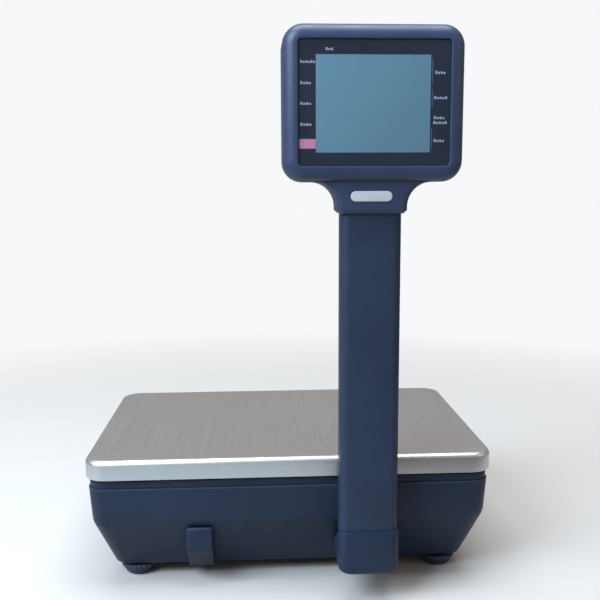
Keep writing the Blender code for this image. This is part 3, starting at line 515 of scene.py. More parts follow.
def mottled(name, colour, roughness, tint=None, gloss=None, relief=None, **extra):
    """A surface varied by noise: tint is scale, detail and two colours; gloss is scale and
    two roughnesses; relief is scale, detail and depth."""
    made = Recipe(name, colour, roughness, **extra)
    if tint:
        made.colour(made.blend(made.spread(made.noise(*tint[:2]), 0.0, 1.0), *tint[2:]))
    if gloss:
        made.rough(made.spread(made.noise(gloss[0], 4.0), *gloss[1:]))
    if relief:
        made.bump(made.noise(*relief[:2]), relief[2])
    return made.material


def crystal():
    """The liquid crystal as seen through the window: a pale teal with painted light, lighter
    towards the top and towards low x, the side the key light comes from.
    """
    made = Recipe("liquid_crystal", (0.07, 0.16, 0.22), 0.34, coat=0.5)
    height = made.spread(made.axis("Z"), 0.0, 1.0, (HEAD_MIDDLE_Z - SCREEN_HALF[1]) * MM,
                         (HEAD_MIDDLE_Z + SCREEN_HALF[1]) * MM)
    side = made.spread(made.axis("X"), 0.0, 1.0, (POLE_X - SCREEN_HALF[0]) * MM,
                       (POLE_X + SCREEN_HALF[0]) * MM)
    # Painted light: the colour is lighter at the top and at low x, as if lit from the upper left.
    painted_light_height_mix = made.blend(height, (0.066, 0.140, 0.188), (0.076, 0.176, 0.238))
    painted_light_side_mix = made.blend(side, (0.085, 0.185, 0.258), (0.060, 0.138, 0.190))
    half = made.spread(made.noise(4000.0), 0.42, 0.58)
    made.colour(made.blend(half, painted_light_height_mix, painted_light_side_mix))
    made.bump(made.noise(2500.0), 0.004)
    return made.material


def laminate():
    made = Recipe("board_laminate", (0.02, 0.13, 0.06), 0.42)
    tracks = made.spread(made.cells(220.0), 0.0, 1.0, 0.02, 0.12)
    made.colour(made.blend(tracks, (0.05, 0.24, 0.11), (0.015, 0.10, 0.045)))
    made.bump(made.cells(220.0), 0.03)
    return made.material


NAVY = moulded("navy_plastic", (0.0115, 0.0195, 0.041), 0.46, 0.06, shine=0.2)
# The tub's navy with a painted highlight along its upper lip, just under the seam.
NAVY_TUB_LIT_LIP = moulded("navy_tub_painted_lip_highlight", (0.0115, 0.0195, 0.041), 0.46, 0.06, shine=0.2,
                   painted_highlight=(SEAM_Z - 1.3, SEAM_Z - 0.3))
NAVY_HEAD = moulded("navy_head_plastic", (0.023, 0.037, 0.079), 0.4, 0.016, 1800.0, 0.35)
NAVY_POLE = moulded("navy_pole_finish", (0.0175, 0.0275, 0.054), 0.48, 0.1, 900.0, 0.2)
NAVY_FOOT = moulded("navy_foot_plastic", (0.024, 0.032, 0.052), 0.5, shine=0.3)
BLACK = moulded("black_plastic", (0.014, 0.015, 0.018), 0.4)
KEY_GREY = moulded("key_plastic", (0.43, 0.44, 0.45), 0.4, 0.012, 2200.0)
RED = moulded("red_plastic", (0.42, 0.016, 0.014), 0.3, 0.006, 2200.0)
PRINT_PALE, PRINT_WHITE, PRINT_LINE, PRINT_DARK, PRINT_PINK, PRINT_RED = (
    moulded(name + "_print", colour, 0.5, 0.004, 2500.0) for name, colour in (
        ("pale", (0.20, 0.23, 0.31)), ("white", (0.62, 0.63, 0.65)),
        ("line", (0.045, 0.065, 0.115)), ("dark", (0.02, 0.03, 0.06)),
        ("pink", (0.36, 0.15, 0.24)), ("red", (0.45, 0.03, 0.03))))
LABEL = moulded("silver_label", (0.46, 0.47, 0.50), 0.42, 0.004, 2500.0)
STEEL = brushed("platter_steel", (0.62, 0.605, 0.60), 0.38, (1800.0, 7.0, 7.0), 0.04, 0.001, 0.03)
BRIGHT = brushed("bright_steel", (0.58, 0.58, 0.58), 0.25, (300.0, 300.0, 1500.0))
ALUMINIUM = brushed("machined_aluminium", (0.66, 0.67, 0.68), 0.3, (40.0, 1200.0, 1200.0))
CAST = mottled("cast_aluminium", (0.5, 0.51, 0.53), 0.45, gloss=(300.0, 0.36, 0.56),
               relief=(900.0, 4.0, 0.06), metallic=1.0)
RUBBER = mottled("black_rubber", (0.014, 0.014, 0.016), 0.75,
                 (80.0, 5.0, (0.011, 0.012, 0.015), (0.028, 0.028, 0.03)), (200.0, 0.62, 0.88),
                 (1200.0, 3.0, 0.05))
WINDOW = mottled("printed_window", (0.006, 0.009, 0.018), 0.16,
                 (25.0, 2.0, (0.006, 0.012, 0.026), (0.009, 0.016, 0.033)), (120.0, 0.12, 0.2),
                 coat=0.6, shine=0.3)
CRYSTAL = crystal()
LAMINATE = laminate()
FLUID = mottled("level_fluid", (0.42, 0.68, 0.08), 0.05,
                (150.0, 2.0, (0.38, 0.64, 0.07), (0.46, 0.72, 0.1)), coat=1.0)


# ---------------------------------------------------------------- housing

def wall_inset(z, base_slope):
    """How far the wall stands inside the seam's line at a height, with the crease rounded."""
    above, below = -BAND_SLOPE, -base_slope
    if z >= CREASE_Z + CREASE_SOFTNESS:
        return (SEAM_Z - z) * BAND_SLOPE
    low = CREASE_Z - CREASE_SOFTNESS
    at_low = BAND_TAPER + CREASE_SOFTNESS * base_slope
    if z <= low:
        return at_low + (low - z) * base_slope
    reach = 2 * CREASE_SOFTNESS
    part = (z - low) / reach
    return at_low + reach * (below * part + (above - below) * part * part / 2)


def housing_outline(z, inset):
    half = SEAM_HALF_WIDTH - wall_inset(z, SIDE_SLOPE) - inset
    inward = wall_inset(z, BASE_SLOPE) + inset
    low = TUB_LOW.y + inward
    high = CONSOLE_FRONT_Y + BAND_TAPER - inward
    corner = HOUSING_CORNER - min(inset, WALL)
    return rounded(half, (high - low) / 2, corner, (0.0, (low + high) / 2))


def housing_block(name, inset, soft_floor=False):
    levels = [(FLOOR_Z, inset)]
    if soft_floor:
        levels = [(FLOOR_Z + inward, inset + FLOOR_ROUND - along)
                  for inward, along in arc(FLOOR_ROUND, SMALL_QUARTER)]
    levels.append((CREASE_Z - CREASE_SOFTNESS - 2 * OVER, inset))
    levels += [(CREASE_Z + CREASE_SOFTNESS * (2 * step / QUARTER - 1), inset)
               for step in range(QUARTER + 1)]
    levels.append((DECK_Z + OVER, inset))
    return solid(name, [flat(housing_outline(z, grow), z) for z, grow in levels])


def deck_at(y):
    run = min(max(y - CONSOLE_TOP_Y, 0.0), CONSOLE_REACH + OVER)
    return DECK_Z - run * CONSOLE_DROP / CONSOLE_REACH


def slab_under_deck(drop, base):
    """Everything from base up to a surface that lies drop below the deck."""
    low = -PLATTER_HALF[1] - OVER
    high = CONSOLE_FRONT_Y + OVER
    outline = ((low, base), (high, base), (high, deck_at(high) - drop),
               (CONSOLE_TOP_Y, DECK_Z - drop), (low, DECK_Z - drop))
    reach = 2 * PLATTER_HALF[0]
    return solid("slab", [[Vector((x, y, z)) for y, z in outline] for x in (-reach, reach)])


def on_surface(drop):
    """Accepts points that lie drop below the deck and its console."""
    return lambda p: abs(p.z - deck_at(p.y) + drop) < 0.05


def turn_to(a, b, c, place):
    """The frame with axes a, b and c at a place."""
    axes = Matrix((Vector(a), Vector(b), Vector(c))).transposed().to_4x4()
    return Matrix.Translation(place) @ axes


def side_turn(y):
    """Frame on the right-hand wall: a towards the operator, b up the wall, c outwards."""
    tilt = atan(BAND_SLOPE)
    place = SEAM_HALF_WIDTH - (SEAM_Z - SIDE_FITTING_Z) * BAND_SLOPE
    return turn_to((0.0, 1.0, 0.0), (sin(tilt), 0.0, cos(tilt)),
                   (cos(tilt), 0.0, -sin(tilt)), (place, y, SIDE_FITTING_Z))


def console_turn():
    """Frame on the console: a to the operator's right, b up the slope, c out of it."""
    flat_part, rise = cos(CONSOLE_TILT), sin(CONSOLE_TILT)
    middle = CONSOLE_TOP_Y + CONSOLE_REACH / 2
    return turn_to((-1.0, 0.0, 0.0), (0.0, -flat_part, rise), (0.0, rise, flat_part),
                   (0.0, middle, deck_at(middle)))


def make_tub():
    tub = keep(housing_block("housing_tub", 0.0, soft_floor=True),
               slab_under_deck(COVER_RISE, FLOOR_Z - OVER))
    round_edges(tub, 1.3, on_surface(COVER_RISE), segments=4)
    cut(tub, keep(housing_block("inside", WALL), slab_under_deck(WALL, FLOOR_Z + WALL)))
    door_x = (DOOR_LOW.x - GAP, DOOR_HIGH.x + GAP)
    low, high = node_box("battery")
    room = 2.0
    pocket_y = (low.y - room, high.y + room)
    top = high.z + room
    join(tub, block("pocket", (door_x[0] - room, door_x[1] + room),
                    (pocket_y[0] - room, pocket_y[1] + room), (FLOOR_Z + 1.0, top + room)))
    cut(tub, block("room", door_x, pocket_y, (FLOOR_Z - OVER, top)))
    for corner in CORNERS:
        place = measure("foot_" + corner)[0]
        join(tub, column("boss", circle(BOSS_RADIUS, place, 32), FLOOR_Z + 1.0, BOSS_TOP))
        cut(tub, column("bore", circle(STUD_BORE, place, 32), FLOOR_Z - OVER, BOSS_TOP + OVER))
    cut(tub, block("passage", PASSAGE_X, (-PLATTER_HALF[1], FLOOR_CUSTOMER + OVER), PASSAGE_Z))
    for y, body in ((SWITCH_Y, SWITCH_BODY), (INLET_Y, INLET_BODY)):
        half_a, half_b = body[0] / 2 + GAP, body[1] / 2 + GAP
        cut(tub, block("opening", (-half_a, half_a), (-half_b, half_b), (-3 * WALL, OVER),
                       side_turn(y)))
    for number in range(VENT_COUNT):
        place = (VENT_X + number * VENT_PITCH, VENT_Y)
        cut(tub, column("vent", rounded(1.5, VENT_LENGTH / 2, 1.5, place, 4),
                        FLOOR_Z - OVER, FLOOR_Z + WALL + 1.0))
    finish(tub, "navy_plastic", NAVY_TUB_LIT_LIP, "lower_housing")


def make_cover():
    cover = cut(housing_block("housing_cover", SEAM_SETBACK),
                slab_under_deck(COVER_RISE - SEAM_LINE, FLOOR_Z - OVER))
    keep(cover, slab_under_deck(0.0, FLOOR_Z))
    round_edges(cover, 2.6, on_surface(0.0), segments=4, sharpest=40.0)
    cut(cover, keep(housing_block("inside", WALL), slab_under_deck(WALL, FLOOR_Z + WALL)))
    cut(cover, column("hole", rounded(POST_HALF[0] + POST_CLEARANCE, POST_HALF[1] + POST_CLEARANCE,
                                      POST_CLEARANCE, (POST_CENTRE[0], 0.0)),
                      SEAM_Z, DECK_Z + OVER))
    console = console_turn()
    for outline, low in ((keypad_outline(-GAP), -BEZEL_SINK),
                         (keypad_outline(BEZEL_LEDGE, 1.0), -2 * WALL),
                         (circle(LEVEL_RADIUS + GAP, LEVEL_PLACE), -2 * WALL)):
        cut(cover, column("hole", outline, low, OVER, console))
    finish(cover, "navy_plastic", NAVY, "upper_housing")


def keypad_outline(inset, corner=1.5):
    return rounded(KEYPAD_SIZE[0] / 2 - inset, KEYPAD_SIZE[1] / 2 - inset, corner,
                   (KEYPAD_CENTRE, 0.0), 4)


# ---------------------------------------------------------------- platter and what carries it

def make_platter():
    """A pan folded from one sheet, with a bright rounded fold along its top edge."""
    def ring(inset, z):
        return flat(rounded(PLATTER_HALF[0] - inset, PLATTER_HALF[1] - inset,
                            PLATTER_CORNER - min(inset, PLATTER_CORNER - 2.0)), z)

    top, low = PLATTER_HIGH.z, PLATTER_LOW.z
    under = top - PLATTER_SHEET
    inner_fold = PLATTER_FOLD - PLATTER_SHEET
    rings = [ring(PLATTER_SHEET + inward, under - inner_fold + along)
             for inward, along in reversed(arc(inner_fold, SMALL_QUARTER))]
    rings += [ring(PLATTER_SHEET, low + 0.3), ring(PLATTER_SHEET - 0.3, low), ring(0.3, low),
              ring(0.0, low + 0.3)]
    rings += [ring(inward, top - PLATTER_FOLD + along)
              for inward, along in arc(PLATTER_FOLD, 8)]
    rings.append(ring(PLATTER_FOLD + 1.0, top))
    finish(solid("platter_pan", rings), "brushed_steel", STEEL, "platter", body="platter")


def make_support():
    """Rubber bumpers, and the bolts of the cast spider under the platter."""
    NODES["platter_support"].data.materials[0] = CAST
    for corner in CORNERS:
        centre, (radius, _), low, high = measure("bumper_" + corner)
        profile = [(radius - inward, low + rise) for inward, rise in BUMPER_PROFILE]
        profile += [(radius - inward, high - BUMPER_ROUND + along)
                    for inward, along in arc(BUMPER_ROUND, SMALL_QUARTER)]
        finish(turned("rubber_bumper_" + corner, profile, centre), "rubber", RUBBER,
               "bumper_" + corner)
    top = measure("platter_support")[3]
    radius, height = 3.6, 3.4
    for number, (dx, dy) in enumerate(SUPPORT_BOLTS):
        turn = shift(POST_CENTRE[0] + dx, dy, top)
        bolt = turned(f"support_bolt_{number + 1}", ((radius, 0.05), (radius, height - 0.4),
                                                     (radius - 0.4, height)), steps=32, turn=turn)
        cut(bolt, column("hexagon", circle(radius * 0.5, steps=6), height * 0.35, height + 1.0,
                         turn))
        finish(bolt, "brushed_steel", BRIGHT)


def cross_screw(name, turn, radius):
    """A domed screw head with a cross recess."""
    screw = turned(name, [(radius, 0.05), (radius, 0.3)] + cap(radius, 1.1, 0.3, (20, 40, 60, 78)),
                   steps=32, turn=turn)
    half, thin = radius * 0.62, radius * 0.14
    for a, b in ((half, thin), (thin, half)):
        cut(screw, block("slot", (-a, a), (-b, b), (0.5, 3.0), turn))
    finish(screw, "brushed_steel", BRIGHT)


# ---------------------------------------------------------------- feet and battery

def make_feet():
    for corner in CORNERS:
        place, (radius, _), _, top = measure("foot_" + corner)
        _, (wheel_radius, _), wheel_low, wheel_high = measure("foot_wheel_" + corner)
        pad_top = wheel_low - GAP
        profile = [*CUP_PROFILE, (radius, pad_top), (STUD_RADIUS, pad_top)]
        for number in range(int((top - pad_top - 2.0) / THREAD_PITCH)):
            base = pad_top + 1.0 + number * THREAD_PITCH
            profile += [(STUD_RADIUS, base), (STUD_RADIUS - THREAD_DEPTH, base + 0.5),
                        (STUD_RADIUS, base + 1.0)]
        profile += [(STUD_RADIUS, top - 0.6), (STUD_RADIUS - 0.6, top)]
        finish(turned("foot_pad_" + corner, profile, place), "rubber",
               NAVY_FOOT, "foot_" + corner, body="foot_" + corner)
        make_wheel(corner, place, wheel_radius, wheel_low, wheel_high)


def fluted(radius, depth, place):
    """A wheel's outline with rounded flutes round it."""
    points = []
    for step in range(FLUTE_STEPS):
        turn = 2 * pi * step / FLUTE_STEPS
        reach = radius - depth * max(0.0, cos(FLUTES * turn)) ** 1.5
        points.append((place[0] + reach * cos(turn), place[1] + reach * sin(turn)))
    return points


def make_wheel(corner, place, radius, low, high):
    """A knurled wheel; its sections are radius, depth of the flutes and height."""
    sections = [(STUD_BORE, 0.0, low), (radius - 2.8, 0.0, low), (radius - 2.2, 0.3, low + 0.5),
                (radius - 0.4, 0.7, low + 2.5), (radius, 0.8, low + 3.2),
                (radius, 0.8, high - 0.9), (radius - 0.5, 0.7, high - 0.3),
                (radius - 1.4, 0.4, high), (STUD_BORE, 0.0, high)]
    wheel = solid("levelling_wheel_" + corner,
                  [flat(fluted(reach, depth, place), z) for reach, depth, z in sections],
                  closed=True)
    finish(wheel, "black_plastic", NAVY_FOOT, "foot_wheel_" + corner, body="foot_wheel_" + corner)


def make_battery():
    middle, half, low, high = measure("battery")
    case = soft_column("battery_case", lambda inset: rounded(
        half[0] - inset, half[1] - inset, 2.5 - min(inset, 1.2), middle, 5), low, high, 1.2,
        both=True)
    finish(case, "black_plastic", BLACK, "battery")
    for name, x, material in (("plus", middle[0] - 30.0, RED), ("minus", middle[0] + 30.0, BLACK)):
        terminal = block("battery_terminal_" + name, (x - 3.0, x + 3.0),
                         (middle[1] - 2.4, middle[1] + 2.4), (low - 0.5, low - 0.05))
        finish(terminal, "black_plastic", material)


def make_door():
    """The battery door: plate, barrel and finger tab, with rounded edges and grip ribs."""
    door = add("battery_hatch", NODES["battery_door"].data.copy())
    round_edges(door, DOOR_ROUND, lambda p: p.y < FLOOR_CUSTOMER + 2.0 and p.z > FLOOR_Z - 3.0,
                5, 30.0)
    for number in range(GRIP_RIBS):
        z = GRIP_LOW + number * GRIP_PITCH
        join(door, block("rib", (TAB_X - GRIP_REACH, TAB_X + GRIP_REACH),
                         (DOOR_LOW.y, DOOR_LOW.y + 1.5), (z, z + 1.1)))
    finish(door, "navy_plastic", NAVY, "battery_door", body="battery_door")


# ---------------------------------------------------------------- pole, bracket and head

def crowned(half_x, half_y, radius, crown):
    """The pole's outline: its wide faces swell a little towards their middles."""
    points = []
    for x, y in rounded(half_x, half_y, radius):
        drop = crown * (x / half_x) ** 2
        points.append((POLE_X + x, POLE_Y + y - copysign(drop * abs(y) / half_y, y)))
    return points


def pole_outline(grow):
    return crowned(POLE_HALF[0] + grow, POLE_HALF[1] + grow, POLE_CORNER + grow, POLE_CROWN)


def make_pole():
    outer, inner = pole_outline(0.0), pole_outline(-POLE_WALL)
    low, high = POLE_LOW.z, POLE_HIGH.z
    rings = [flat(outer, low), flat(outer, high), flat(inner, high), flat(inner, low)]
    finish(solid("display_pole", rings, closed=True), "navy_plastic", NAVY_POLE,
           "pole_tube", angle=40.0)


def profiled(name, outline, half):
    """A body with a (y, z) outline that reaches half to each side of the pole's middle."""
    return solid(name, [[Vector((x, y, z)) for y, z in outline]
                        for x in (POLE_X - half, POLE_X + half)])


def make_bracket():
    """The socket under the pole, with a rounded bottom and a soft lip."""
    front, back = BRACKET_LOW.y, FLOOR_CUSTOMER + 4.0
    half = (BRACKET_HIGH.x - BRACKET_LOW.x) / 2 - 0.6
    bottom = BRACKET_LOW.z
    round_bottom = 9.0

    def ring(inset, z, front_inset):
        low = front + front_inset
        return flat(rounded(half - inset, (back - low) / 2, POLE_CORNER + 1.0,
                            (POLE_X, (low + back) / 2)), z)

    rings = [ring((round_bottom - along) * 0.8, bottom + inward * 0.8,
                  (round_bottom - along) * 0.55)
             for inward, along in arc(round_bottom, 8)]
    rings += [ring(inset, BRACKET_TOP - drop, inset)
              for inset, drop in ((0.0, 0.8), (0.25, 0.2), (0.8, 0.0))]
    bracket = solid("pole_socket", rings)
    near, far, lip = front + 5.0, back + 5.0, BRACKET_TOP + 0.2
    cut(bracket, profiled("slant", ((near, lip), (far, lip - 0.6 * (back - front)),
                                    (far, BRACKET_TOP + OVER), (near, BRACKET_TOP + OVER)),
                          2 * half))
    join(bracket, block("arm", (POLE_X - 20.0, POLE_X + 20.0), (POLE_HIGH.y + GAP, back),
                        (bottom + 14.0, BRACKET_HIGH.z)))
    wall = [(TUB_LOW.y + wall_inset(z, BASE_SLOPE) - GAP / cos(atan(BASE_SLOPE)), z)
            for z in (0.0, 20.0, 35.0, 50.0, 55.0, 60.0, 65.0, 70.0, 76.0, 85.0, 110.0)]
    cut(bracket, profiled("wall", wall + [(0.0, 110.0), (0.0, 0.0)], 2 * half))
    cut(bracket, column("sleeve", pole_outline(GAP), POLE_LOW.z - GAP, BRACKET_HIGH.z + OVER))
    cut(bracket, block("passage", PASSAGE_X, (POLE_Y - 12.0, 0.0), PASSAGE_Z))
    cut(bracket, block("passage", PASSAGE_X, (POLE_Y - PASSAGE_HALF, POLE_Y + PASSAGE_HALF),
                       (PASSAGE_Z[0], POLE_LOW.z + OVER)))
    finish(bracket, "navy_plastic", NAVY, "pole_bracket")


def head_outline(inset):
    return rounded(HEAD_HALF[0] - inset, HEAD_HALF[1] - inset, max(HEAD_CORNER - inset, 4.0),
                   (POLE_X, HEAD_MIDDLE_Z))


def window_outline(grow, corner=WINDOW_CORNER):
    return rounded(WINDOW_HALF[0] + grow, WINDOW_HALF[1] + grow, corner,
                   (POLE_X, HEAD_MIDDLE_Z))


def neck_half_width(z):
    if z < NECK_BOTTOM + NECK_CHAMFER:
        return NECK_HALF_WIDTH - (NECK_BOTTOM + NECK_CHAMFER - z)
    rise = z - (HEAD_BOTTOM - NECK_FILLET)
    if rise <= 0.0:
        return NECK_HALF_WIDTH
    rise = min(rise, NECK_FILLET)
    return NECK_HALF_WIDTH + NECK_FILLET - sqrt(NECK_FILLET ** 2 - rise ** 2)


def neck_ring(z, seam, side, shrink):
    """Half a rounded rectangle: square at the seam and rounded at the neck's face."""
    half = neck_half_width(z)
    depth = NECK_DEPTH - shrink
    corner = NECK_CORNER - min(shrink, 1.5)
    points = [(half, 0.0)]
    for inward, along in arc(corner, SMALL_QUARTER):
        points.append((half - inward, depth - corner + along))
    points += [(-x, y) for x, y in reversed(points)]
    return [Vector((POLE_X + x, POLE_Y + side * y if y else seam, z)) for x, y in points]


def make_head_shell(name, node, side):
    """One half of the head: side is -1 for the customer's half and 1 for the operator's."""
    seam = POLE_Y + side * GAP / 2
    face = POLE_Y + side * HEAD_DEPTH / 2
    sill = face - side * (WINDOW_SINK + WINDOW_THICKNESS + GAP)
    lining = sill - side * HEAD_WALL
    lip = 0.6
    sections = [(head_outline(0.35), seam), (head_outline(0.0), seam + side * 0.35)]
    sections += [(head_outline(inward), face - side * (HEAD_BEVEL - along))
                 for inward, along in arc(HEAD_BEVEL, 12)]
    sections += [(window_outline(GAP + lip, WINDOW_CORNER + lip), face),
                 (window_outline(GAP + 0.2, WINDOW_CORNER + 0.2), face - side * 0.2),
                 (window_outline(GAP), face - side * lip), (window_outline(GAP), sill),
                 (window_outline(-WINDOW_LEDGE, 1.0), sill),
                 (window_outline(-WINDOW_LEDGE, 1.0), lining),
                 (head_outline(HEAD_WALL + 3.0), lining),
                 (head_outline(HEAD_WALL), face - side * HEAD_BEVEL),
                 (head_outline(HEAD_WALL), seam)]
    shell = solid(name, [upright(outline, y) for outline, y in sections], closed=True)

    heights = [(NECK_BOTTOM, NECK_CHAMFER), (NECK_BOTTOM + NECK_CHAMFER - 0.3, 0.3),
               (NECK_BOTTOM + NECK_CHAMFER + 0.2, 0.0)]
    heights += [(HEAD_BOTTOM - NECK_FILLET + along, 0.0) for _, along in arc(NECK_FILLET, 12)]
    heights.append((HEAD_BOTTOM + 1.6, 0.0))
    join(shell, solid("neck", [neck_ring(z, seam, side, shrink) for z, shrink in heights]))
    cut(shell, column("sleeve", pole_outline(GAP), NECK_BOTTOM - OVER,
                      HEAD_BOTTOM + HEAD_WALL + OVER))
    finish(shell, "navy_plastic", NAVY_HEAD, node, angle=35.0)


def make_window(owner, side):
    """A printed pane; the clear field in its middle shows the liquid crystal."""
    face = POLE_Y + side * (HEAD_DEPTH / 2 - WINDOW_SINK)
    back = face - side * WINDOW_THICKNESS
    edge = 0.35
    fit = GAP - PANE_LINE
    screen = rounded(*SCREEN_HALF, 0.4, (POLE_X + SCREEN_OFFSET[0],
                                         HEAD_MIDDLE_Z + SCREEN_OFFSET[1]))
    rings = [upright(window_outline(fit), back), upright(window_outline(fit), face - side * edge),
             upright(window_outline(fit - edge), face), upright(screen, face)]
    pane = solid(owner + "_window_pane", rings)
    finish(pane, "dark_window", [WINDOW, CRYSTAL], owner + "_window")
    for polygon in pane.data.polygons:
        at_face = abs(polygon.center.y - PLATTER_MIDDLE.y - face * MM) < 0.1 * MM
        polygon.material_index = 1 if at_face and len(polygon.vertices) > 4 else 0
    NODES[owner + "_lcd"].data.materials[0] = CRYSTAL
    for name, bars, material in (
        ("captions", caption_bars(), PRINT_PALE),
        ("field", [((-60.0, -46.9), (-35.4, -27.9))], PRINT_PINK),
        ("line", [((45.5, 46.2), heights) for heights in SIDE_LINE], PRINT_LINE),
    ):
        mesh = bmesh.new()
        for x, z in bars:
            bar(mesh, side, face, x, z)
        finish(to_object(mesh, f"{owner}_window_{name}"), "dark_window", material)


# Rows of short bars where the window's captions stand: place from the window's middle, width.
CAPTIONS = ((-59.0, 31.5, 12.3), (-59.0, 15.4, 9.0), (-59.0, -0.4, 9.0), (-59.0, -16.5, 9.4),
            (48.0, 23.5, 8.6), (47.3, 4.1, 11.0), (47.4, -11.4, 9.0), (47.0, -15.2, 11.4),
            (47.6, -29.3, 9.0), (-39.0, 41.2, 6.4))
BAR_PITCH = 2.1
BAR_SPACE = 0.55
BAR_HEIGHTS = (2.3, 1.6, 1.9, 1.5, 2.2, 1.6, 1.8)
SIDE_LINE = ((14.0, 34.5), (-3.5, 10.5), (-36.0, -19.5))


def caption_bars():
    """Generic captions: for each bar, its range in x and in z."""
    bars = []
    for x, z, width in CAPTIONS:
        count = max(3, round(width / BAR_PITCH))
        pitch = width / count
        for number in range(count):
            left = x + number * pitch
            height = BAR_HEIGHTS[number % len(BAR_HEIGHTS)]
            bars.append(((left, left + pitch - BAR_SPACE), (z - 1.1, z - 1.1 + height)))
    return bars


def bar(mesh, side, face, x, z):
    """A thin printed bar on the pane, as its reader sees it."""
    low = face + side * 0.01
    outline = rounded((x[1] - x[0]) / 2, (z[1] - z[0]) / 2, 0.25,
                      (POLE_X - side * (x[0] + x[1]) / 2, HEAD_MIDDLE_Z + (z[0] + z[1]) / 2), 2)
    skin(mesh, [upright(outline, low), upright(outline, low + side * PRINT_THICKNESS)])


def make_badge():
    """A blank badge on the customer's side of the neck."""
    face = POLE_Y - NECK_DEPTH
    centre = (POLE_X - 1.0, (NECK_BOTTOM + NECK_CHAMFER + HEAD_BOTTOM) / 2)
    sections = [(0.0, 0.02)] + [(inward, 0.25 + along) for inward, along in arc(0.5, 4)]
    rings = [upright(rounded(17.0 - inset, 4.2 - inset, 4.2 - inset, centre), face - rise)
             for inset, rise in sections]
    finish(solid("neck_badge", rings), "aluminium", LABEL)


def make_head_screws():
    """Two screws in the operator's side of the neck."""
    back = Matrix.Rotation(radians(-90.0), 4, "X")
    for number, x in enumerate((POLE_X - 14.0, POLE_X + 14.0)):
        turn = shift(x, POLE_Y + NECK_DEPTH, 354.0) @ back
        cross_screw(f"neck_screw_{number + 1}", turn, 3.0)


# ---------------------------------------------------------------- console

def make_bezel():
    console = console_turn()
    low = GAP - BEZEL_SINK
    plate = soft_column("keypad_frame", keypad_outline, low, low + BEZEL_THICKNESS, 0.5,
                        turn=console)
    for _, _, place in key_places():
        outline = rounded(KEY_SIZE[0] / 2 + KEY_SLACK, KEY_SIZE[1] / 2 + KEY_SLACK, KEY_CORNER,
                          place, 4)
        cut(plate, column("hole", outline, low - OVER, low + OVER, console))
    finish(plate, "black_plastic", BLACK, "keypad_bezel")


def key_places():
    """Row, column and place on the console of every key."""
    return [(row, column_number,
             (KEYPAD_CENTRE + (column_number - (KEY_COLUMNS - 1) / 2) * KEY_PITCH[0],
              ((KEY_ROWS - 1) / 2 - row) * KEY_PITCH[1]))
            for row in range(KEY_ROWS) for column_number in range(KEY_COLUMNS)]


# What each key shows: a digit, or the name of a sign that key_sign() draws.
KEY_MARKS = (
    ("7", "8", "9", "bar", "ring"),
    ("4", "5", "6", "plus", "up"),
    ("1", "2", "3", "minus", "down"),
    ("0", "00", ".", "times", "equals"),
)
# The strokes of a sign: place, half length, half width and lean in degrees.
STROKES = {
    "minus": ((0.0, 0.0, 2.4, 0.4, 0.0),),
    "plus": ((0.0, 0.0, 2.4, 0.4, 0.0), (0.0, 0.0, 0.4, 2.4, 0.0)),
    "equals": ((0.0, 0.9, 2.4, 0.4, 0.0), (0.0, -0.9, 2.4, 0.4, 0.0)),
    "bar": ((0.0, 0.0, 4.6, 1.5, 0.0),),
    "times": ((0.0, 0.0, 2.6, 0.4, 45.0), (0.0, 0.0, 2.6, 0.4, -45.0)),
}


def make_keys():
    """Dished caps; a section is how far its outline grows, its height and its corner."""
    console = console_turn()
    foot_top = KEY_FOOT + KEY_FLANGE
    sections = [(KEY_FLANGE, KEY_FOOT, KEY_CORNER), (KEY_FLANGE, foot_top, KEY_CORNER),
                (0.0, foot_top, KEY_CORNER), (0.0, 0.8, KEY_CORNER)]
    sections += [(-0.7 - inward, KEY_PROUD - 1.0 + along, 2.4)
                 for inward, along in arc(1.0, 5)]
    sections += [(grow, KEY_PROUD - drop, KEY_CORNER) for grow, drop in (
        (-2.3, 0.1), (-3.0, 0.28), (-3.8, 0.4), (-4.6, KEY_DISH))]
    for row, column_number, place in key_places():
        name = f"key_{row + 1}_{column_number + 1}"
        rings = [flat(rounded(KEY_SIZE[0] / 2 + grow, KEY_SIZE[1] / 2 + grow, corner, place, 6), z)
                 for grow, z, corner in sections]
        finish(solid(name + "_cap", rings, turn=console), "grey_key", KEY_GREY, name,
               angle=50.0, body=name)
        sign = key_sign(KEY_MARKS[row][column_number], console @ shift(
            *place, KEY_PROUD - KEY_DISH + 0.01))
        sign.name = name + "_mark"
        finish(sign, "grey_key", PRINT_DARK if column_number < 4 else PRINT_RED, body=name)


def key_sign(mark, turn):
    """The digit or sign on a key, as a thin print on the key's top."""
    def thin(outline, lean=Matrix()):
        return column("stroke", outline, 0.0, SIGN_THICKNESS, turn @ lean)

    if mark in STROKES:
        strokes = [thin(rounded(half_a, half_b, 0.3, (a, b), 3),
                        Matrix.Rotation(radians(lean), 4, "Z"))
                   for a, b, half_a, half_b, lean in STROKES[mark]]
        return join(*strokes)
    if mark == "ring":
        return cut(thin(circle(2.3, steps=32)),
                   column("hole", circle(1.6, steps=32), -1.0, 1.0, turn))
    if mark in ("up", "down"):
        way = 1 if mark == "up" else -1
        return thin(((-2.4, -1.6 * way), (2.4, -1.6 * way), (0.0, 2.0 * way)))
    return text_print(mark, 7.2, turn)


def text_print(words, size, turn):
    """Digits as a thin body: the letters' curves filled, extruded and made a mesh."""
    curve = bpy.data.curves.new("digits", "FONT")
    curve.body = words
    curve.size = size
    curve.align_x = curve.align_y = "CENTER"
    curve.extrude = SIGN_THICKNESS / 2
    curve.resolution_u = 4
    letters = add("digits", curve)
    evaluated = letters.evaluated_get(bpy.context.evaluated_depsgraph_get())
    data = bpy.data.meshes.new_from_object(evaluated)
    bpy.data.objects.remove(letters, do_unlink=True)
    data.transform(Matrix.Translation(PLATTER_MIDDLE) @ Matrix.Scale(MM, 4) @ turn
                   @ shift(0.0, 0.0, SIGN_THICKNESS / 2))
    return add("digits", data)


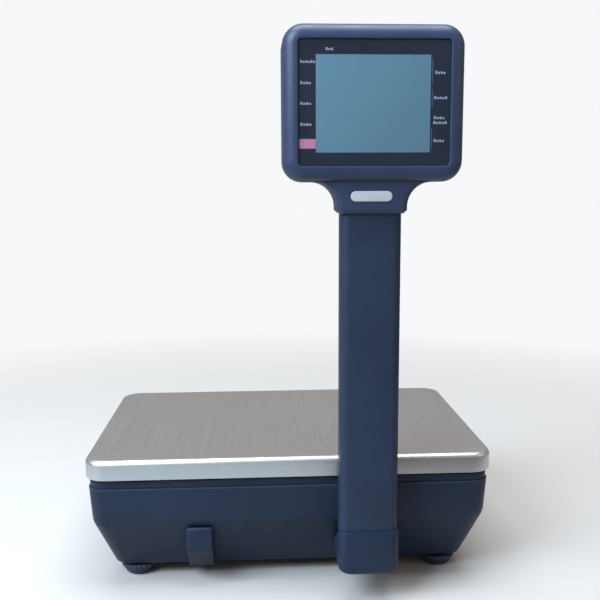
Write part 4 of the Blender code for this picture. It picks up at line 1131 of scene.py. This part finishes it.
def make_level():
    """Spirit level: a bezel ring, the fluid's dome with two sighting rings, and its bubble."""
    console = console_turn()
    place, outer, inner = LEVEL_PLACE, LEVEL_OUTER, LEVEL_INNER
    ring_profile = [(LEVEL_RADIUS, -8.0), (LEVEL_RADIUS, GAP), (outer, GAP), (outer, 1.2)]
    ring_profile += [(outer - inward, 1.2 + along) for inward, along in arc(0.7, 4)]
    ring_profile += [(inner + 0.4, 1.9), (inner, 1.5), (inner, -8.0)]
    body = turned("level_bezel", ring_profile, place, turn=console, closed=True)
    finish(body, "level_vial", BLACK, "spirit_level")
    dome = [(inner - 0.1, -7.5), (inner - 0.1, 0.9)] + cap(inner, 0.6, 0.9, (15, 35, 55, 75))
    finish(turned("level_vial_dome", dome, place, turn=console), "level_vial", FLUID,
           angle=60.0)
    for number, radius in enumerate((3.2, 5.6)):
        mark = column(f"level_mark_{number + 1}", circle(radius, place), 1.44, 1.62, console)
        cut(mark, column("hole", circle(radius - 0.3, place), 1.0, 2.0, console))
        finish(mark, "level_vial", PRINT_DARK)
    bubble = [(BUBBLE_RADIUS, 1.35)] + cap(BUBBLE_RADIUS, 0.45, 1.4, (5, 30, 55, 78))
    blob = turned("level_bubble", bubble, (place[0] + 0.7, place[1] - 0.4), 32, console)
    finish(blob, "level_vial", PRINT_WHITE, angle=60.0)


# ---------------------------------------------------------------- side fittings

def flanged(name, body, flange, corner, turn):
    """A box that hangs in the wall from a flange with a rounded edge."""
    edge = 0.6
    sections = [(body, 0.0, -body[2]), (body, 0.0, GAP), (flange, 0.0, GAP)]
    sections += [(flange, inward, GAP + flange[2] - edge + along)
                 for inward, along in arc(edge, 4)]
    return solid(name, [flat(rounded(size[0] / 2 - inset, size[1] / 2 - inset, corner, steps=5), c)
                        for size, inset, c in sections], turn=turn)


def make_switch():
    turn = side_turn(SWITCH_Y)
    housing = flanged("switch_frame", SWITCH_BODY, SWITCH_FLANGE, 1.2, turn)
    cut(housing, column("well", rounded(ROCKER_SIZE[0] / 2 + GAP, ROCKER_SIZE[1] / 2 + ROCKER_GAP,
                                        0.6, steps=3), -SWITCH_WELL, OVER, turn))
    finish(housing, "black_plastic", BLACK, "power_switch")

    half, reach = ROCKER_SIZE[1] / 2, ROCKER_SIZE[0] / 2
    rim = half - 0.4

    def hollow(b):
        """Height of the rocker's dished face."""
        return 0.8 + 1.75 * (abs(b) / rim) ** 1.3

    outline = [(-half, 0.0), (-half / 2, -4.0), (half / 2, -4.0), (half, 0.0), (half, 2.2)]
    steps = 12
    dish = [rim * (1 - 2 * step / steps) for step in range(steps + 1)]
    outline += [(b, hollow(b)) for b in dish] + [(-half, 2.2)]
    pivot = shift(0.0, 0.0, -1.0)
    tilt = turn @ pivot @ Matrix.Rotation(radians(-ROCKER_TILT), 4, "X") @ pivot.inverted()
    rocker = solid("rocker_cap", [[Vector((a, b, c)) for b, c in outline]
                                  for a in (-reach, reach)], turn=tilt)
    finish(rocker, "red_plastic", RED, "power_switch_rocker", angle=40.0, body="power_rocker")
    for name, b in (("on", 4.3), ("off", -4.3)):
        lean = Matrix.Rotation(copysign(radians(16.0), b), 4, "X")
        place = tilt @ shift(0.0, b, hollow(b)) @ lean
        outline = rounded(0.35, 1.7, 0.2, steps=2) if b > 0 else circle(1.6, steps=28)
        mark = column("rocker_sign_" + name, outline, -0.1, 0.12, place)
        if b < 0:
            cut(mark, column("hole", circle(1.05, steps=28), -1.0, 1.0, place))
        finish(mark, "red_plastic", PRINT_WHITE, body="power_rocker")


def make_inlet():
    """A three-pin appliance inlet with its screws."""
    turn = side_turn(INLET_Y)
    inlet = flanged("inlet_housing", INLET_BODY, INLET_FLANGE, 2.5, turn)
    half_a, half_b, depth = INLET_SOCKET[0] / 2, INLET_SOCKET[1] / 2, INLET_SOCKET[2]
    bevel = 4.6
    outline = [(half_a, -half_b), (half_a, half_b - bevel), (half_a - bevel, half_b),
               (-half_a + bevel, half_b), (-half_a, half_b - bevel), (-half_a, -half_b)]
    cut(inlet, column("socket", outline, -depth, OVER, turn))
    finish(inlet, "black_plastic", BLACK, "power_inlet")
    for number, place in enumerate(((0.0, 2.6), (-7.0, -2.2), (7.0, -2.2))):
        pin = soft_column(f"inlet_pin_{number + 1}", lambda inset: rounded(
            1.0 - inset * 0.6, 2.0 - inset, 0.3, place, 3), -depth + 0.1, -3.0, 0.5, turn=turn)
        finish(pin, "brushed_steel", BRIGHT)
    for number, a in enumerate((-20.0, 20.0)):
        cross_screw(f"inlet_screw_{number + 1}", turn @ shift(a, 0.0, GAP + INLET_FLANGE[2]), 2.6)


def make_underside():
    """Screws that hold the tub to the cover, and a blank rating plate."""
    down = Matrix.Rotation(pi, 4, "X")
    for number, (x, y) in enumerate(CASE_SCREWS):
        cross_screw(f"case_screw_{number + 1}", shift(x, y, FLOOR_Z - 0.02) @ down, 3.6)
    plate = soft_column("rating_plate", lambda inset: rounded(
        34.0 - inset, 20.0 - inset, 2.0, (-60.0, 100.0), 4), 0.02, 0.3, 0.15,
        turn=shift(0.0, 200.0, FLOOR_Z) @ down)
    finish(plate, "aluminium", LABEL)


def paint_plain_nodes():
    """CAD nodes that keep their shape and take a finished material."""
    for names, material in (
        (("main_board", "keypad_board", "display_board"), LAMINATE),
        (("load_cell", "load_cell_spacer", "support_post"), ALUMINIUM),
        (("chassis_plate", "battery_door_pin"), BRIGHT),
        (("display_cable",), RUBBER),
    ):
        for name in names:
            NODES[name].data.materials.clear()
            NODES[name].data.materials.append(material)


# ---------------------------------------------------------------- studio

CAMERA_PLACE = Vector((-28.5, -795.9, 364.4))
CAMERA_YAW = 3.16
CAMERA_PITCH = 8.21
CAMERA_ROLL = 0.26
CAMERA_LENS = 47.32
FLOOR_REACH = 2.0         # metres, as everything in the studio
FLOOR_CLEAR = (0.34, 1.15)
CARD_HEIGHT = 0.16
ROOM_COLOUR = (1.0, 0.94, 0.89)
ROOM_STRENGTH = 0.34
SURROUND = (0.93, 0.94, 0.95, 1.0)
# Place, target, size, power and colour of each light.
LIGHTS = {
    "key_light": ((-0.98, -0.86, 1.2), (-0.03, 0.0, 0.27), (0.95, 0.95), 50.0,
                  (0.70, 0.85, 1.0)),
    "fill_light": ((1.8, -0.9, 1.0), (0.05, -0.1, 0.25), (0.9, 0.9), 3.0, (1.0, 0.93, 0.86)),
    "top_light": ((0.0, -0.1, 2.0), (0.0, 0.0, 0.1), (1.6, 1.2), 50.0, (0.86, 0.93, 1.0)),
}


def make_camera():
    yaw, pitch, roll = (radians(v) for v in (CAMERA_YAW, CAMERA_PITCH, CAMERA_ROLL))
    forward = Vector((sin(yaw) * cos(pitch), cos(yaw) * cos(pitch),
                      -sin(pitch)))
    right = Vector((cos(yaw), -sin(yaw), 0.0))
    up = right.cross(forward)
    data = bpy.data.cameras.new("camera")
    data.lens = CAMERA_LENS
    data.clip_start = 0.01
    camera = add("camera", data)
    camera.matrix_world = turn_to(cos(roll) * right - sin(roll) * up,
                                  sin(roll) * right + cos(roll) * up, -forward,
                                  CAMERA_PLACE * MM + PLATTER_MIDDLE)
    bpy.context.scene.camera = camera


def area_light(name, place, target, size, power, colour):
    data = bpy.data.lights.new(name, "AREA")
    data.shape = "RECTANGLE"
    data.size, data.size_y = size
    data.energy = power
    data.color = colour
    light = add(name, data)
    light.location = place
    light.rotation_euler = (Vector(target) - Vector(place)).to_track_quat("-Z", "Y").to_euler()


def sheet(name, points, faces, material):
    """A bare surface of the studio, in metres."""
    mesh = bpy.data.meshes.new(name)
    mesh.from_pydata(points, [], faces)
    mesh.materials.append(material)
    made = add(name, mesh)
    return made


def reflector(name, path, colour):
    """A low upright card that only shiny faces reflect."""
    cloth = mottled(name + "_cloth", colour, 0.9, relief=(700.0, 2.0, 0.1), shine=0.1)
    count = len(path)
    card = sheet(name, [(x, y, z) for z in (0.0, CARD_HEIGHT) for x, y in path],
                 [(i, i + 1, i + 1 + count, i + count) for i in range(count - 1)], cloth)
    card.visible_camera = card.visible_shadow = card.visible_diffuse = False


def make_studio():
    """A pale floor that fades into a pale surround, a cool key light and warm, dim fills."""
    pale = Recipe("pale_floor", (0.48, 0.458, 0.436), 0.6, shine=0.2)
    distance = pale.node("VectorMath")
    distance.operation = "LENGTH"
    feed(pale.tree, distance.inputs[0], pale.place)
    faded = mix_shaders(pale.tree, pale.spread(distance.outputs["Value"], 0.0, 1.0, *FLOOR_CLEAR),
                        pale.shader.outputs["BSDF"], pale.node("BsdfTransparent").outputs["BSDF"])
    feed(pale.tree, pale.tree.nodes["Material Output"].inputs["Surface"], faded)
    reach = FLOOR_REACH
    sheet("floor", [(-reach, -reach, 0), (reach, -reach, 0), (reach, reach, 0),
                    (-reach, reach, 0)], [(0, 1, 2, 3)], pale.material)
    reflector("dark_card", ((0.06, -0.36), (0.42, -0.36), (0.62, -0.12)), (0.15, 0.132, 0.122))
    reflector("blue_card", ((-0.62, -0.12), (-0.42, -0.36), (0.03, -0.36)), (0.65, 0.86, 0.98))

    world = bpy.data.worlds.new("studio")
    world.use_nodes = True
    tree = world.node_tree
    room = tree.nodes["Background"]
    room.inputs["Color"].default_value = (*ROOM_COLOUR, 1.0)
    room.inputs["Strength"].default_value = ROOM_STRENGTH
    surround = add_node(tree, "Background", Color=SURROUND)
    seen = mix_shaders(tree, add_node(tree, "LightPath").outputs["Is Camera Ray"],
                       room.outputs["Background"], surround.outputs["Background"])
    feed(tree, tree.nodes["World Output"].inputs["Surface"], seen)
    bpy.context.scene.world = world
    bpy.context.scene.view_settings.view_transform = "Standard"
    for name, values in LIGHTS.items():
        area_light(name, *values)


make_tub()
make_cover()
make_platter()
make_support()
make_feet()
make_battery()
make_door()
make_pole()
make_bracket()
make_head_shell("head_front_moulding", "head_customer_shell", -1)
make_head_shell("head_back_moulding", "head_operator_shell", 1)
make_window("customer", -1)
make_window("operator", 1)
make_badge()
make_head_screws()
make_bezel()
make_keys()
make_level()
make_switch()
make_inlet()
make_underside()
paint_plain_nodes()
make_camera()
make_studio()
